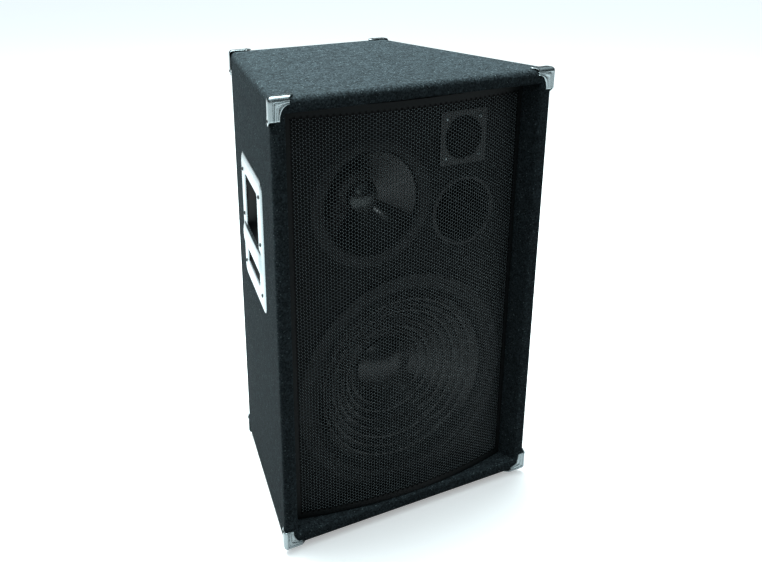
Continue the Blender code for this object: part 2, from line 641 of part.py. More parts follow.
# ---- crossover, wiring and wool -----------------------------------------
def build_crossover():
    face = BACK_INNER - GAP
    front = face - 0.0016
    block("crossover_board", (-0.090, front, 0.090), (0.090, face, 0.200), BOARD_GREEN, PARTS)
    for name, x, z, bore, rim, height in (("crossover_coil_low", -0.045, 0.145, 0.014, 0.030, 0.022),
                                          ("crossover_coil_high", 0.025, 0.118, 0.009, 0.019, 0.016)):
        coil = turned(name, [(bore, height), (rim, height), (rim, 0), (bore, 0)], SMALL, COPPER)
        face_forward(coil, x, z, front - GAP)
    capacitor = turned("crossover_capacitor", [(0, 0.024), (0.012, 0.024), (0.012, -0.024),
                                               (0, -0.024)], SMALL, FOIL_FILM, closed=False)
    capacitor.location = (0.040, front - GAP - 0.0125, 0.168)
    capacitor.rotation_euler = (0, math.radians(90), 0)


def smooth_path(points, per_span=5):
    """Catmull-Rom curve through hand-set points."""
    knots = [Vector(p) for p in points]
    ends = [2 * knots[0] - knots[1]] + knots + [2 * knots[-1] - knots[-2]]
    path = []
    for a, b, c, d in zip(ends, ends[1:], ends[2:], ends[3:]):
        for i in range(per_span):
            t = i / per_span
            path.append(0.5 * (2 * b + (c - a) * t + (2 * a - 5 * b + 4 * c - d) * t ** 2
                               + (3 * b - a - 3 * c + d) * t ** 3))
    return path + [knots[-1]]


def build_woofer_lead():
    route = [(-0.005, 0.158, 0.150), (-0.008, 0.140, 0.146), (-0.030, 0.095, 0.130),
             (-0.042, 0.040, 0.122), (-0.024, -0.020, 0.124), (0, -0.055, 0.128),
             (0, -0.064, 0.131)]
    curve = bpy.data.curves.new("woofer_lead", "CURVE")
    curve.dimensions = "3D"
    curve.bevel_depth = 0.0018
    curve.bevel_resolution = 2
    curve.use_fill_caps = True
    path = smooth_path(route, per_span=4)
    spline = curve.splines.new("POLY")
    spline.points.add(len(path) - 1)
    for point, place in zip(spline.points, path):
        point.co = (*place, 1)
    wire = bpy.data.objects.new("woofer_lead", curve)
    PARTS.objects.link(wire)
    curve.materials.append(RED_PVC)


def build_damping_pad():
    pad = block("damping_pad", (-0.112, BACK_INNER - GAP - 0.024, 0.400),
                (0.112, BACK_INNER - GAP, 0.690), WOOL, PARTS)
    bevel(pad, 0.006, 2)


# ---- back connector, pole socket and feet -------------------------------
def build_terminal():
    """Recessed connector dish: its rim lies on the carpet, its floor carries two sockets."""
    face = BACK_Y + GAP
    rim = [size + 0.026 for size in TERMINAL_MOUTH]
    dish = block("terminal_dish", (-rim[0] / 2, face, TERMINAL_Z - rim[1] / 2),
                 (rim[0] / 2, face + 0.0018, TERMINAL_Z + rim[1] / 2), BLACK_PLASTIC, PARTS)
    wide, tall = TERMINAL_MOUTH[0] / 2, TERMINAL_MOUTH[1] / 2
    floor = BACK_Y - TERMINAL_DEPTH
    bowl = block("terminal_bowl", (-wide - 0.002, floor - 0.002, TERMINAL_Z - tall - 0.002),
                 (wide + 0.002, face + 0.001, TERMINAL_Z + tall + 0.002))
    hollow = block("terminal_hollow", (-wide, floor, TERMINAL_Z - tall),
                   (wide, face + 0.01, TERMINAL_Z + tall))
    boolean(dish, bowl, "UNION")
    boolean(dish, hollow)
    for name, sign in (("left", -1), ("right", 1)):
        x = sign * JACK_SPACING / 2
        hole = round_cutter(f"jack_hole_{name}", 0.0050, x, TERMINAL_Z, floor - 0.01,
                            floor + 0.01, SMALL)
        boolean(dish, hole)
        socket = turned(f"jack_socket_{name}", [
            (0, -0.0240), (0.00325, -0.0240), (0.00325, 0.0028), (0.0075, 0.0028),
            (0.0075, GAP), (0.0047, GAP), (0.0047, -0.0260), (0, -0.0260)],
            SMALL, BARE_STEEL, closed=False)
        socket.location = (x, floor, TERMINAL_Z)
        socket.rotation_euler = (math.radians(-90), 0, 0)


def build_pole_mount():
    tube = POLE_BORE + 0.0026
    mount = turned("pole_mount", [
        (0, 0.088), (tube, 0.088), (tube, -GAP), (0.052, -GAP), (0.052, -0.0033),
        (POLE_BORE, -0.0033), (POLE_BORE, 0.0855), (0, 0.0855)], MEDIUM, BLACK_STEEL,
        closed=False)
    mount.location = (0, 0, BOX_BOTTOM)


def build_feet():
    top = FOOT_HEIGHT - GAP
    for end, x, y in (("front", 0.180, -0.135), ("back", 0.105, 0.135)):
        for side, sign in (("left", -1), ("right", 1)):
            foot = turned(f"foot_{end}_{side}", [
                (0.004, top), (FOOT_RADIUS, top), (FOOT_RADIUS - 0.002, 0.001),
                (FOOT_RADIUS - 0.003, 0), (0.009, 0), (0.009, 0.005), (0.004, 0.005)],
                SMALL, RUBBER)
            foot.location = (sign * x, y, 0)


HANDLE_CUTS = {side: handle_cutter(side) for side in ("left", "right")}
TERMINAL_CUT = terminal_cutter()
METAL_CORE = envelope("metal_core", -GAP)

build_carcass()
build_baffle()
build_carpet()
build_grille()
build_corners()
for handle_side in ("left", "right"):
    build_handle(handle_side)
build_woofer()
build_midrange()
build_tweeter()
build_port()
build_crossover()
build_woofer_lead()
build_damping_pad()
build_terminal()
build_pole_mount()
build_feet()
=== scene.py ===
import math

import bmesh
import bpy
from mathutils import Matrix, Vector, noise
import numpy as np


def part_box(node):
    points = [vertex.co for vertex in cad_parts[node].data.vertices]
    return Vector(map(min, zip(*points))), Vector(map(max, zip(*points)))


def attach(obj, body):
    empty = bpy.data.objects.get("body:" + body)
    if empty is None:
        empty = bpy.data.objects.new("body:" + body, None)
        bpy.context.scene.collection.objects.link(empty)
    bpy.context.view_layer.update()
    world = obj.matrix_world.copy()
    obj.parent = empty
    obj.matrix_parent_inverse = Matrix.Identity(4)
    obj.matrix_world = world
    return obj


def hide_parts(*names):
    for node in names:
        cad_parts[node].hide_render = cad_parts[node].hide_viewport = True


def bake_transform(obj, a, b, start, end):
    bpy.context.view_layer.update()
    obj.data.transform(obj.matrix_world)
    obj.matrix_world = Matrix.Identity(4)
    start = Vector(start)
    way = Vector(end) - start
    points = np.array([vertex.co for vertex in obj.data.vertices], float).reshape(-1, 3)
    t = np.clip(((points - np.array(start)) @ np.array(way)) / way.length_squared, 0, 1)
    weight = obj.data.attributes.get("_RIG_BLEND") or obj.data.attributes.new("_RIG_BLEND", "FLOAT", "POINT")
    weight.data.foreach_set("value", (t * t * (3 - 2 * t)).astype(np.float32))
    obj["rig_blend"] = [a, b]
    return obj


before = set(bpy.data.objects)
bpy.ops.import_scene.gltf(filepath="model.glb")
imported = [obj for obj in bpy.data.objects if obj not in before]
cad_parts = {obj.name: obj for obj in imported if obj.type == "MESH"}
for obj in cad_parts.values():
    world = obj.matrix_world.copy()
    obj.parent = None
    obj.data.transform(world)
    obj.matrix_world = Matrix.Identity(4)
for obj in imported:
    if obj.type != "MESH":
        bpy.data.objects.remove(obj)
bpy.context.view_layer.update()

# ---- camera ---------------------------------------------------------------
# Seen from the front left and from above, with the lens close enough that
# the upright edges draw together towards the floor.
yaw, pitch, roll = 0.52800, 0.40276, 0.00902
eye = bpy.data.objects.new("camera", bpy.data.cameras.new("camera"))
bpy.context.scene.collection.objects.link(eye)
eye.data.lens = 45.22
eye.data.sensor_width = 36.0
eye.data.sensor_fit = "HORIZONTAL"
eye.data.clip_end = 60.0
ahead = Vector((math.cos(pitch) * math.sin(yaw), math.cos(pitch) * math.cos(yaw), -math.sin(pitch)))
level = Vector((math.cos(yaw), -math.sin(yaw), 0.0))
upright = level.cross(ahead)
across = math.cos(roll) * level + math.sin(roll) * upright
upright = math.cos(roll) * upright - math.sin(roll) * level
turn = Matrix((across, upright, -ahead)).transposed().to_4x4()
eye.matrix_world = Matrix.Translation((-0.7398, -1.3377, 1.0143)) @ turn
bpy.context.scene.camera = eye

# ---- floor and light ------------------------------------------------------
# A plain pale studio floor, a soft overhead daylight that fades towards the
# horizon, a large softbox overhead and behind, and a small one in front.


def node(tree, kind, **inputs):
    """A shader node with some of its sockets set; underscores stand for spaces."""
    made = tree.nodes.new(kind)
    for name, value in inputs.items():
        made.inputs[name.replace("_", " ")].default_value = value
    return made


def ramp(tree, source, *stops):
    """Colours spread over a value: (position, grey or colour) pairs."""
    made = tree.nodes.new("ShaderNodeValToRGB")
    while len(made.color_ramp.elements) < len(stops):
        made.color_ramp.elements.new(0.5)
    for element, (place, colour) in zip(made.color_ramp.elements, stops):
        element.position = place
        element.color = (*colour, 1) if isinstance(colour, tuple) else (colour, colour, colour, 1)
    tree.links.new(source, made.inputs["Fac"])
    return made.outputs["Color"]


floor_bm = bmesh.new()
bmesh.ops.create_grid(floor_bm, x_segments=1, y_segments=1, size=20.0)
bmesh.ops.translate(floor_bm, verts=floor_bm.verts, vec=(0, 0, -0.0004))
floor_mesh = bpy.data.meshes.new("floor")
floor_bm.to_mesh(floor_mesh)
floor = bpy.data.objects.new("floor", floor_mesh)
bpy.context.scene.collection.objects.link(floor)
floor.visible_diffuse = False
pale = bpy.data.materials.new("pale_floor")
pale.use_nodes = True
floor_noise = node(pale.node_tree, "ShaderNodeTexNoise", Scale=3.0, Detail=3.0)
pale_shader = pale.node_tree.nodes["Principled BSDF"]
pale.node_tree.links.new(ramp(pale.node_tree, floor_noise.outputs["Fac"], (0.3, 0.90), (0.7, 0.93)),
                         pale_shader.inputs["Base Color"])
pale_shader.inputs["Roughness"].default_value = 0.9
pale_shader.inputs["Specular IOR Level"].default_value = 0.1
pale_shader.inputs["Emission Color"].default_value = (1, 1, 1, 1)
pale_shader.inputs["Emission Strength"].default_value = 0.35
floor_mesh.materials.append(pale)

sky = bpy.data.worlds.new("studio")
bpy.context.scene.world = sky
sky.use_nodes = True
direction = node(sky.node_tree, "ShaderNodeTexCoord")
parts = node(sky.node_tree, "ShaderNodeSeparateXYZ")
sky.node_tree.links.new(direction.outputs["Generated"], parts.inputs["Vector"])
sky_colours = ((0.0, (0.015, 0.020, 0.022)), (0.3, (0.04, 0.05, 0.053)),
               (0.6, (0.26, 0.32, 0.34)), (0.95, (1.2, 1.4, 1.45)))
sky.node_tree.links.new(ramp(sky.node_tree, parts.outputs["Z"], *sky_colours),
                        sky.node_tree.nodes["Background"].inputs["Color"])
sky.node_tree.nodes["Background"].inputs["Strength"].default_value = 1.0


def softbox(name, place, target, size, power):
    light = bpy.data.lights.new(name, "AREA")
    light.shape = "RECTANGLE"
    light.size, light.size_y = size
    light.energy = power
    light.color = (0.84, 0.98, 1.0)
    lamp = bpy.data.objects.new(name, light)
    bpy.context.scene.collection.objects.link(lamp)
    lamp.location = place
    lamp.rotation_euler = (Vector(target) - Vector(place)).to_track_quat("-Z", "Y").to_euler()


softbox("softbox_above", (-0.15, 0.8, 2.9), (0, 0, 0.4), (2.2, 2.0), 210)
softbox("softbox_front", (-0.6, -2.4, 1.5), (0, 0, 0.5), (0.28, 0.24), 2.8)
bpy.context.scene.view_settings.view_transform = "Standard"

# ---- carcass boards -------------------------------------------------------
# Cut from raw particle board, glued and stapled, with battens that carry the
# baffle and a brace across the back. All of it ends up under the carpet.


def surface(name, dark, light, grain, rough, metallic=0.0, relief=0.15, depth=0.0002,
            stretch=(1, 1, 1), sheen=0.0, broad=7.0, mottle=(0.78, 1.0)):
    """A finish: two colours over a fine grain, mottled by a broad one, with the grain as relief."""
    finish = bpy.data.materials.new(name)
    finish.use_nodes = True
    tree = finish.node_tree
    shader = tree.nodes["Principled BSDF"]
    place = node(tree, "ShaderNodeTexCoord")
    scaled = node(tree, "ShaderNodeMapping", Scale=stretch)
    fine = node(tree, "ShaderNodeTexNoise", Scale=grain, Detail=5.0, Roughness=0.6)
    wide = node(tree, "ShaderNodeTexNoise", Scale=broad, Detail=3.0)
    tree.links.new(place.outputs["Object"], scaled.inputs["Vector"])
    tree.links.new(scaled.outputs["Vector"], fine.inputs["Vector"])
    tree.links.new(place.outputs["Object"], wide.inputs["Vector"])
    mix = tree.nodes.new("ShaderNodeMix")
    mix.data_type, mix.blend_type = "RGBA", "MULTIPLY"
    mix.inputs["Factor"].default_value = 1.0
    tree.links.new(ramp(tree, fine.outputs["Fac"], (0.32, dark), (0.68, light)), mix.inputs["A"])
    tree.links.new(ramp(tree, wide.outputs["Fac"], (0.3, mottle[0]), (0.7, mottle[1])), mix.inputs["B"])
    tree.links.new(mix.outputs["Result"], shader.inputs["Base Color"])
    tree.links.new(ramp(tree, fine.outputs["Fac"], (0.3, rough[0]), (0.7, rough[1])),
                   shader.inputs["Roughness"])
    bump = node(tree, "ShaderNodeBump", Strength=relief, Distance=depth)
    tree.links.new(fine.outputs["Fac"], bump.inputs["Height"])
    tree.links.new(bump.outputs["Normal"], shader.inputs["Normal"])
    shader.inputs["Metallic"].default_value = metallic
    if sheen:
        shader.inputs["Sheen Weight"].default_value = sheen
        shader.inputs["Sheen Roughness"].default_value = 0.5
    return finish


def dress(finish, *names):
    """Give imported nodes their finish."""
    for name in names:
        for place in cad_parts[name].material_slots:
            place.material = finish


particle_board = surface("particle_board", (0.30, 0.20, 0.11), (0.62, 0.46, 0.29), 420.0, (0.75, 0.95),
                         relief=0.5, stretch=(1, 0.45, 1), broad=60.0)
dress(particle_board, "top_panel", "bottom_panel", "left_side_panel", "right_side_panel", "back_panel",
      "baffle_batten_left", "baffle_batten_right", "cross_brace")

# ---- baffle ---------------------------------------------------------------
# The same board, rolled with a matt black paint that leaves the chips of the
# board just showing.
baffle_paint = surface("baffle_paint", (0.0015, 0.0018, 0.002), (0.004, 0.0045, 0.005), 300.0, (0.55, 0.8),
                       relief=0.35, depth=0.0003)
baffle_paint.node_tree.nodes["Principled BSDF"].inputs["Specular IOR Level"].default_value = 0.15
dress(baffle_paint, "front_baffle")

# ---- carpet ---------------------------------------------------------------
# Needled felt, glued round the box in one skin and turned in over the front
# edges of the boards down to the baffle. It has a soft nap with stray lint.
box_low, box_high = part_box("carpet_cover")
front_y, back_y = box_low.y, box_high.y
box_bottom, box_top = box_low.z, box_high.z
front_half, back_half = 0.23965, 0.1476
taper = math.atan((front_half - back_half) / (back_y - front_y))
baffle_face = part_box("front_baffle")[0].y
carpet_gap = 0.0003
lining_face, felt_thick = 0.0226, 0.0019
edge_round, mouth_round = 0.010, 0.0035
dish_hole_front, dish_hole_back, dish_hole_half = -0.062, 0.068, 0.081
terminal_hole_x, terminal_hole_z, pole_hole = 0.053, 0.035, 0.023


def lean(bm):
    """Turn a straight box into the cabinet's form: each side draws in towards the back."""
    for vert in bm.verts:
        shift = (vert.co.y - front_y) * math.tan(taper)
        vert.co.x -= math.copysign(shift, vert.co.x)


def applied(obj):
    """The object with its modifiers made part of its mesh."""
    bpy.context.view_layer.update()
    made = bpy.data.meshes.new_from_object(obj.evaluated_get(bpy.context.evaluated_depsgraph_get()))
    obj.modifiers.clear()
    obj.data = made
    return obj


def piece(name, bm, finish, body="cabinet", angle=35.0, thickness=0.0, replaces=()):
    """A finished piece on its body: smooth but for its sharp edges, walled if it is a sheet."""
    mesh = bpy.data.meshes.new(name)
    bm.to_mesh(mesh)
    bm.free()
    obj = bpy.data.objects.new(name, mesh)
    bpy.context.scene.collection.objects.link(obj)
    if thickness:
        wall = obj.modifiers.new("wall", "SOLIDIFY")
        wall.thickness, wall.offset = thickness, -1.0
        applied(obj)
    obj.data.materials.clear()
    obj.data.materials.append(finish)
    obj.data.shade_smooth()
    obj.data.set_sharp_from_angle(angle=math.radians(angle))
    if body:
        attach(obj, body)
    if replaces:
        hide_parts(*replaces)
    return obj


def open_window(bm, facing, low, high):
    """Cut a rectangle out of the flat faces that look one way; low and high have None off that face."""
    for limits in (low, high):
        for axis in range(3):
            if limits[axis] is None:
                continue
            faces = [f for f in bm.faces if f.normal.dot(facing) > 0.999]
            geom = {part for f in faces for part in (f, *f.edges, *f.verts)}
            point, normal = Vector((0, 0, 0)), Vector((0, 0, 0))
            point[axis], normal[axis] = limits[axis], 1.0
            bmesh.ops.bisect_plane(bm, geom=list(geom), plane_co=point, plane_no=normal, dist=1e-6)
            bm.normal_update()
    gone = []
    for face in bm.faces:
        middle = face.calc_center_median()
        inside = all(low[i] is None or low[i] < middle[i] < high[i] for i in range(3))
        if inside and face.normal.dot(facing) > 0.999:
            gone.append(face)
    bmesh.ops.delete(bm, geom=gone, context="FACES")


carpet_bm = bmesh.new()
bmesh.ops.create_cube(carpet_bm, size=1.0)
box_size = Vector((2 * front_half, back_y - front_y, box_top - box_bottom))
bmesh.ops.scale(carpet_bm, verts=carpet_bm.verts, vec=box_size)
bmesh.ops.translate(carpet_bm, verts=carpet_bm.verts, vec=(0, 0, (box_top + box_bottom) / 2))
mouth = min(carpet_bm.faces, key=lambda f: f.calc_center_median().y)
bmesh.ops.inset_individual(carpet_bm, faces=[mouth], thickness=lining_face, use_even_offset=True)
turned_in = bmesh.ops.extrude_discrete_faces(carpet_bm, faces=[mouth])["faces"][0]
bmesh.ops.translate(carpet_bm, verts=turned_in.verts, vec=(0, baffle_face - carpet_gap - front_y, 0))
bmesh.ops.delete(carpet_bm, geom=[turned_in], context="FACES")
bmesh.ops.remove_doubles(carpet_bm, verts=carpet_bm.verts, dist=1e-6)
outer_edges = [e for e in carpet_bm.edges if all(
    abs(abs(v.co.x) - front_half) < 1e-6 and min(abs(v.co.z - box_bottom), abs(v.co.z - box_top)) < 1e-6
    for v in e.verts)]
bmesh.ops.bevel(carpet_bm, geom=outer_edges, offset=edge_round, offset_type="OFFSET", segments=7, profile=0.5,
                affect="EDGES", material=-1)
mouth_edges = [e for e in carpet_bm.edges
               if all(abs(v.co.y - front_y) < 1e-6 and abs(v.co.x) < front_half - 0.02 and
                      box_bottom + 0.02 < v.co.z < box_top - 0.02 for v in e.verts)]
bmesh.ops.bevel(carpet_bm, geom=mouth_edges, offset=mouth_round, offset_type="OFFSET", segments=4,
                profile=0.5, affect="EDGES", material=-1)
lean(carpet_bm)
carpet_bm.normal_update()
handle_z = (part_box("handle_plate_left")[0].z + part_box("handle_plate_left")[1].z) / 2
dish_z = (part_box("handle_dish_left")[0].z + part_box("handle_dish_left")[1].z) / 2
terminal_z = (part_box("terminal_dish")[0].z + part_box("terminal_dish")[1].z) / 2
for sign in (-1, 1):
    wall = Vector((sign * math.cos(taper), math.sin(taper), 0))
    open_window(carpet_bm, wall, (None, dish_hole_front, dish_z - dish_hole_half),
                (None, dish_hole_back, dish_z + dish_hole_half))
open_window(carpet_bm, Vector((0, 1, 0)), (-terminal_hole_x, None, terminal_z - terminal_hole_z),
            (terminal_hole_x, None, terminal_z + terminal_hole_z))
open_window(carpet_bm, Vector((0, 0, -1)), (-pole_hole, -pole_hole, None), (pole_hole, pole_hole, None))

felt = surface("carpet_felt", (0.004, 0.0060, 0.0070), (0.070, 0.090, 0.100), 360.0, (0.85, 1.0),
               relief=1.0, depth=0.0014, broad=95.0, mottle=(0.55, 1.0))
tree = felt.node_tree
felt_shader = tree.nodes["Principled BSDF"]
felt_shader.inputs["Specular IOR Level"].default_value = 0.08
felt_place = node(tree, "ShaderNodeTexCoord")
lint = node(tree, "ShaderNodeTexNoise", Scale=330.0, Detail=1.0)
tree.links.new(felt_place.outputs["Object"], lint.inputs["Vector"])
with_lint = tree.nodes.new("ShaderNodeMix")
with_lint.data_type = "RGBA"
with_lint.inputs["B"].default_value = (0.20, 0.25, 0.26, 1)
plain = felt_shader.inputs["Base Color"].links[0].from_socket
tree.links.new(plain, with_lint.inputs["A"])
tree.links.new(ramp(tree, lint.outputs["Fac"], (0.69, 0.0), (0.755, 0.9)), with_lint.inputs["Factor"])
tree.links.new(with_lint.outputs["Result"], felt_shader.inputs["Base Color"])
piece("carpet_felt_cover", carpet_bm, felt, thickness=felt_thick, replaces=["carpet_cover"])

# ---- screws ---------------------------------------------------------------
# Pressed pan-head screws with a cross recess; the same kind, in other sizes,
# holds the corners, the handles, the drivers and the connector dish.


def turned(profile, steps, closed=True):
    """A solid spun about Z from (radius, height) points."""
    bm = bmesh.new()
    ring = [bm.verts.new((radius, 0, height)) for radius, height in profile]
    pairs = list(zip(ring, ring[1:])) + ([(ring[-1], ring[0])] if closed else [])
    edges = [bm.edges.new(pair) for pair in pairs]
    bmesh.ops.spin(bm, geom=ring + edges, cent=(0, 0, 0), axis=(0, 0, 1), angle=2 * math.pi,
                   steps=steps, use_merge=True, use_duplicate=False)
    bmesh.ops.remove_doubles(bm, verts=bm.verts, dist=0.00001)
    bmesh.ops.recalc_face_normals(bm, faces=bm.faces)
    return bm


def cut(bm, cutter_bm, operation="DIFFERENCE"):
    """The first shape cut by, or joined to, the second."""
    made = []
    for shape in (bm, cutter_bm):
        bmesh.ops.recalc_face_normals(shape, faces=shape.faces)
        mesh = bpy.data.meshes.new("shape")
        shape.to_mesh(mesh)
        shape.free()
        made.append(bpy.data.objects.new("shape", mesh))
        bpy.context.scene.collection.objects.link(made[-1])
    work, tool = made
    step = work.modifiers.new("cut", "BOOLEAN")
    step.operation, step.object, step.solver = operation, tool, "EXACT"
    applied(work)
    result = bmesh.new()
    result.from_mesh(work.data)
    for obj in made:
        bpy.data.objects.remove(obj, do_unlink=True)
    return result


def block(size, middle=(0, 0, 0), rounding=0.0, segments=3):
    """A box, with its edges rounded if asked."""
    bm = bmesh.new()
    bmesh.ops.create_cube(bm, size=1.0)
    bmesh.ops.scale(bm, verts=bm.verts, vec=size)
    if rounding:
        bmesh.ops.bevel(bm, geom=list(bm.edges), offset=rounding, offset_type="OFFSET",
                        segments=segments, profile=0.5, affect="EDGES", material=-1)
    bmesh.ops.translate(bm, verts=bm.verts, vec=middle)
    return bm


def join(target, source, matrix=Matrix.Identity(4)):
    """Add a placed copy of one shape to another."""
    mesh = bpy.data.meshes.new("copy")
    source.to_mesh(mesh)
    mesh.transform(matrix)
    target.from_mesh(mesh)
    bpy.data.meshes.remove(mesh)


def standing(point, normal, spin=0.0):
    """A placing with +Z along a normal."""
    lift = Vector(normal).to_track_quat("Z", "Y").to_matrix().to_4x4()
    return Matrix.Translation(point) @ lift @ Matrix.Rotation(spin, 4, "Z")


screw_head = turned([(0, 0.50), (0.35, 0.47), (0.66, 0.36), (0.90, 0.17), (1.0, 0.0),
                     (1.0, -0.12), (0, -0.12)], 20, closed=False)
cross = cut(block((0.9, 0.17, 0.5), (0, 0, 0.48)), block((0.17, 0.9, 0.5), (0, 0, 0.48)), "UNION")
screw_head = cut(screw_head, cross)


def screws(name, spots, radius, finish, body="cabinet"):
    """Like screws as one piece: spots are (point, normal) pairs, each driven to its own angle."""
    bm = bmesh.new()
    for i, (point, normal) in enumerate(spots):
        join(bm, screw_head, standing(point, normal, 2.4 * i) @ Matrix.Scale(radius, 4))
    return piece(name, bm, finish, body, angle=40)


bright_zinc = surface("bright_zinc", (0.22, 0.26, 0.27), (0.37, 0.41, 0.42), 900.0, (0.20, 0.34),
                      metallic=1.0, relief=0.12, depth=0.00008, broad=25.0, mottle=(0.82, 1.0))
black_screw = surface("black_screw", (0.012, 0.013, 0.013), (0.030, 0.031, 0.031), 1500.0, (0.3, 0.45),
                      metallic=0.7, relief=0.1)

# ---- grille ---------------------------------------------------------------
# One sheet of steel, punched with round holes in staggered rows, bowed
# forwards, folded back along its edges and powder coated black. It is made
# here in four sections that meet between two rows of holes. The open ground
# between three holes gets a pale grey mixed into the coat's colour: a painted
# highlight that stands in for the glint of light there.
grille_low, grille_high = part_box("grille")
bow, sheet_steel = 0.028, 0.0012
bow_radius = (grille_high.x ** 2 + bow ** 2) / (2 * bow)
bow_middle = grille_low.y + bow_radius
grille_half = bow_radius * math.asin(grille_high.x / bow_radius)
grille_mid_z = (grille_low.z + grille_high.z) / 2
grille_tall = (grille_high.z - grille_low.z) / 2
hole_pitch, hole_radius, plain_edge = 0.0055, 0.0023, 0.0062
column_step = hole_pitch * math.cos(math.radians(30))
columns = 2 * int((grille_half - plain_edge) / column_step)
rows = int(2 * (grille_tall - plain_edge) / hole_pitch) - 1

pair_bm = bmesh.new()
open_ground = pair_bm.verts.layers.float.new("open_ground")
for column in (0, 1):
    outer = bmesh.ops.create_circle(pair_bm, segments=12, radius=hole_pitch / math.sqrt(3))["verts"]
    for vert in outer[1::2]:
        vert[open_ground] = 1.0
    for vert in outer[::2]:
        vert.co *= math.cos(math.radians(30))
    inner = bmesh.ops.create_circle(pair_bm, segments=12, radius=hole_radius)["verts"]
    loops = [e for e in pair_bm.edges if not e.link_faces and
             (e.verts[0] in outer or e.verts[0] in inner)]
    bmesh.ops.bridge_loops(pair_bm, edges=loops)
    bmesh.ops.translate(pair_bm, verts=outer + inner,
                        vec=(column_step * column, hole_pitch / 2 * column, 0))
bmesh.ops.remove_doubles(pair_bm, verts=pair_bm.verts, dist=0.00002)
cell = bpy.data.objects.new("cell", bpy.data.meshes.new("cell"))
pair_bm.to_mesh(cell.data)
pair_bm.free()
bpy.context.scene.collection.objects.link(cell)
for count, step in ((rows, (0, hole_pitch, 0)), (columns // 2, (2 * column_step, 0, 0))):
    array = cell.modifiers.new("rows", "ARRAY")
    array.count, array.use_relative_offset, array.use_constant_offset = count, False, True
    array.constant_offset_displace = step
applied(cell)
field = bmesh.new()
field.from_mesh(cell.data)
bpy.data.objects.remove(cell, do_unlink=True)
bmesh.ops.remove_doubles(field, verts=field.verts, dist=0.00005)
bmesh.ops.translate(field, verts=field.verts,
                    vec=(-column_step * (columns - 1) / 2, -hole_pitch * (rows - 0.5) / 2, 0))
half_size = Vector((grille_half, grille_tall, 0))
field_size = Vector((max(v.co.x for v in field.verts), max(v.co.y for v in field.verts), 0))
open_ground = field.verts.layers.float["open_ground"]
for edge in field.edges:
    if edge.is_boundary:
        edge.verts[0][open_ground] = edge.verts[1][open_ground] = 0.0
hole_side, web_side = 2 * hole_radius * math.sin(math.pi / 12), hole_pitch / math.sqrt(12)
rim = [e for e in field.edges if e.is_boundary and e.calc_length() > (hole_side + web_side) / 2]
for lie, (edge_in, drop) in enumerate(((0.0012, 0.0), (0.0, 0.0012), (0.0, 0.0042))):
    made = bmesh.ops.extrude_edge_only(field, edges=rim)["geom"]
    ring = [g for g in made if isinstance(g, bmesh.types.BMVert)]
    rim = [g for g in made if isinstance(g, bmesh.types.BMEdge) and g.is_boundary]
    rim = [e for e in rim if e.verts[0] in ring and e.verts[1] in ring]
    for vert in ring:
        if lie == 0:
            sideways = abs(vert.co.x) - field_size.x > abs(vert.co.y) - field_size.y
        else:
            sideways = abs(abs(vert.co.x) - half_size.x) < 0.0013
        along = abs(abs(vert.co.y) - half_size.y) < 0.0013 if lie else not sideways
        if sideways:
            vert.co.x = math.copysign(half_size.x - edge_in, vert.co.x)
        if along:
            vert.co.y = math.copysign(half_size.y - edge_in, vert.co.y)
        vert.co.z = -drop
        vert[open_ground] = 0.0
    if lie == 0:
        for sign_x in (-1, 1):
            for sign_y in (-1, 1):
                corner = Vector((sign_x * (half_size.x - edge_in), sign_y * (half_size.y - edge_in), 0))
                nearest = min(ring, key=lambda v: (v.co - corner).length)
                nearest.co = corner
powder_coat = surface("powder_coat", (0.003, 0.0038, 0.004), (0.007, 0.0085, 0.009), 1400.0, (0.45, 0.6),
                      relief=0.25, depth=0.00012, broad=11.0, mottle=(0.7, 1.0))
tree = powder_coat.node_tree
coat_shader = tree.nodes["Principled BSDF"]
coat_shader.inputs["Specular IOR Level"].default_value = 0.10
# Painted highlight: a pale grey is mixed into the black coat on the open ground between three holes, in place
# of the glint of light.
ground = tree.nodes.new("ShaderNodeAttribute")
ground.attribute_name = "open_ground"
painted_glint = tree.nodes.new("ShaderNodeMix")
painted_glint.data_type = "RGBA"
painted_glint.inputs["B"].default_value = (0.46, 0.54, 0.56, 1)
tree.links.new(coat_shader.inputs["Base Color"].links[0].from_socket, painted_glint.inputs["A"])
tree.links.new(ramp(tree, ground.outputs["Fac"], (0.28, 0.0), (0.95, 1.0)), painted_glint.inputs["Factor"])
tree.links.new(painted_glint.outputs["Result"], coat_shader.inputs["Base Color"])
for half_x, half_y in ((-1, -1), (1, -1), (-1, 1), (1, 1)):
    section = field.copy()
    gone = []
    for face in section.faces:
        middle = face.calc_center_median()
        if middle.x * half_x < 0 or middle.y * half_y < 0:
            gone.append(face)
    bmesh.ops.delete(section, geom=gone, context="FACES")
    for vert in section.verts:
        along, up, back = vert.co.x, vert.co.y, -vert.co.z
        reach = bow_radius - back
        vert.co = (reach * math.sin(along / bow_radius), bow_middle - reach * math.cos(along / bow_radius),
                   grille_mid_z + up)
    bmesh.ops.recalc_face_normals(section, faces=section.faces)
    section.normal_update()
    if sum(f.normal.y for f in section.faces) > 0:
        bmesh.ops.reverse_faces(section, faces=section.faces)
    name = f"grille_sheet_{'upper' if half_y > 0 else 'lower'}_{'right' if half_x > 0 else 'left'}"
    piece(name, section, powder_coat, thickness=sheet_steel, replaces=["grille"])
field.free()
rail_plastic = surface("rail_plastic", (0.008, 0.008, 0.009), (0.016, 0.016, 0.017), 500.0, (0.5, 0.65))
dress(rail_plastic, "grille_rail_left", "grille_rail_right")

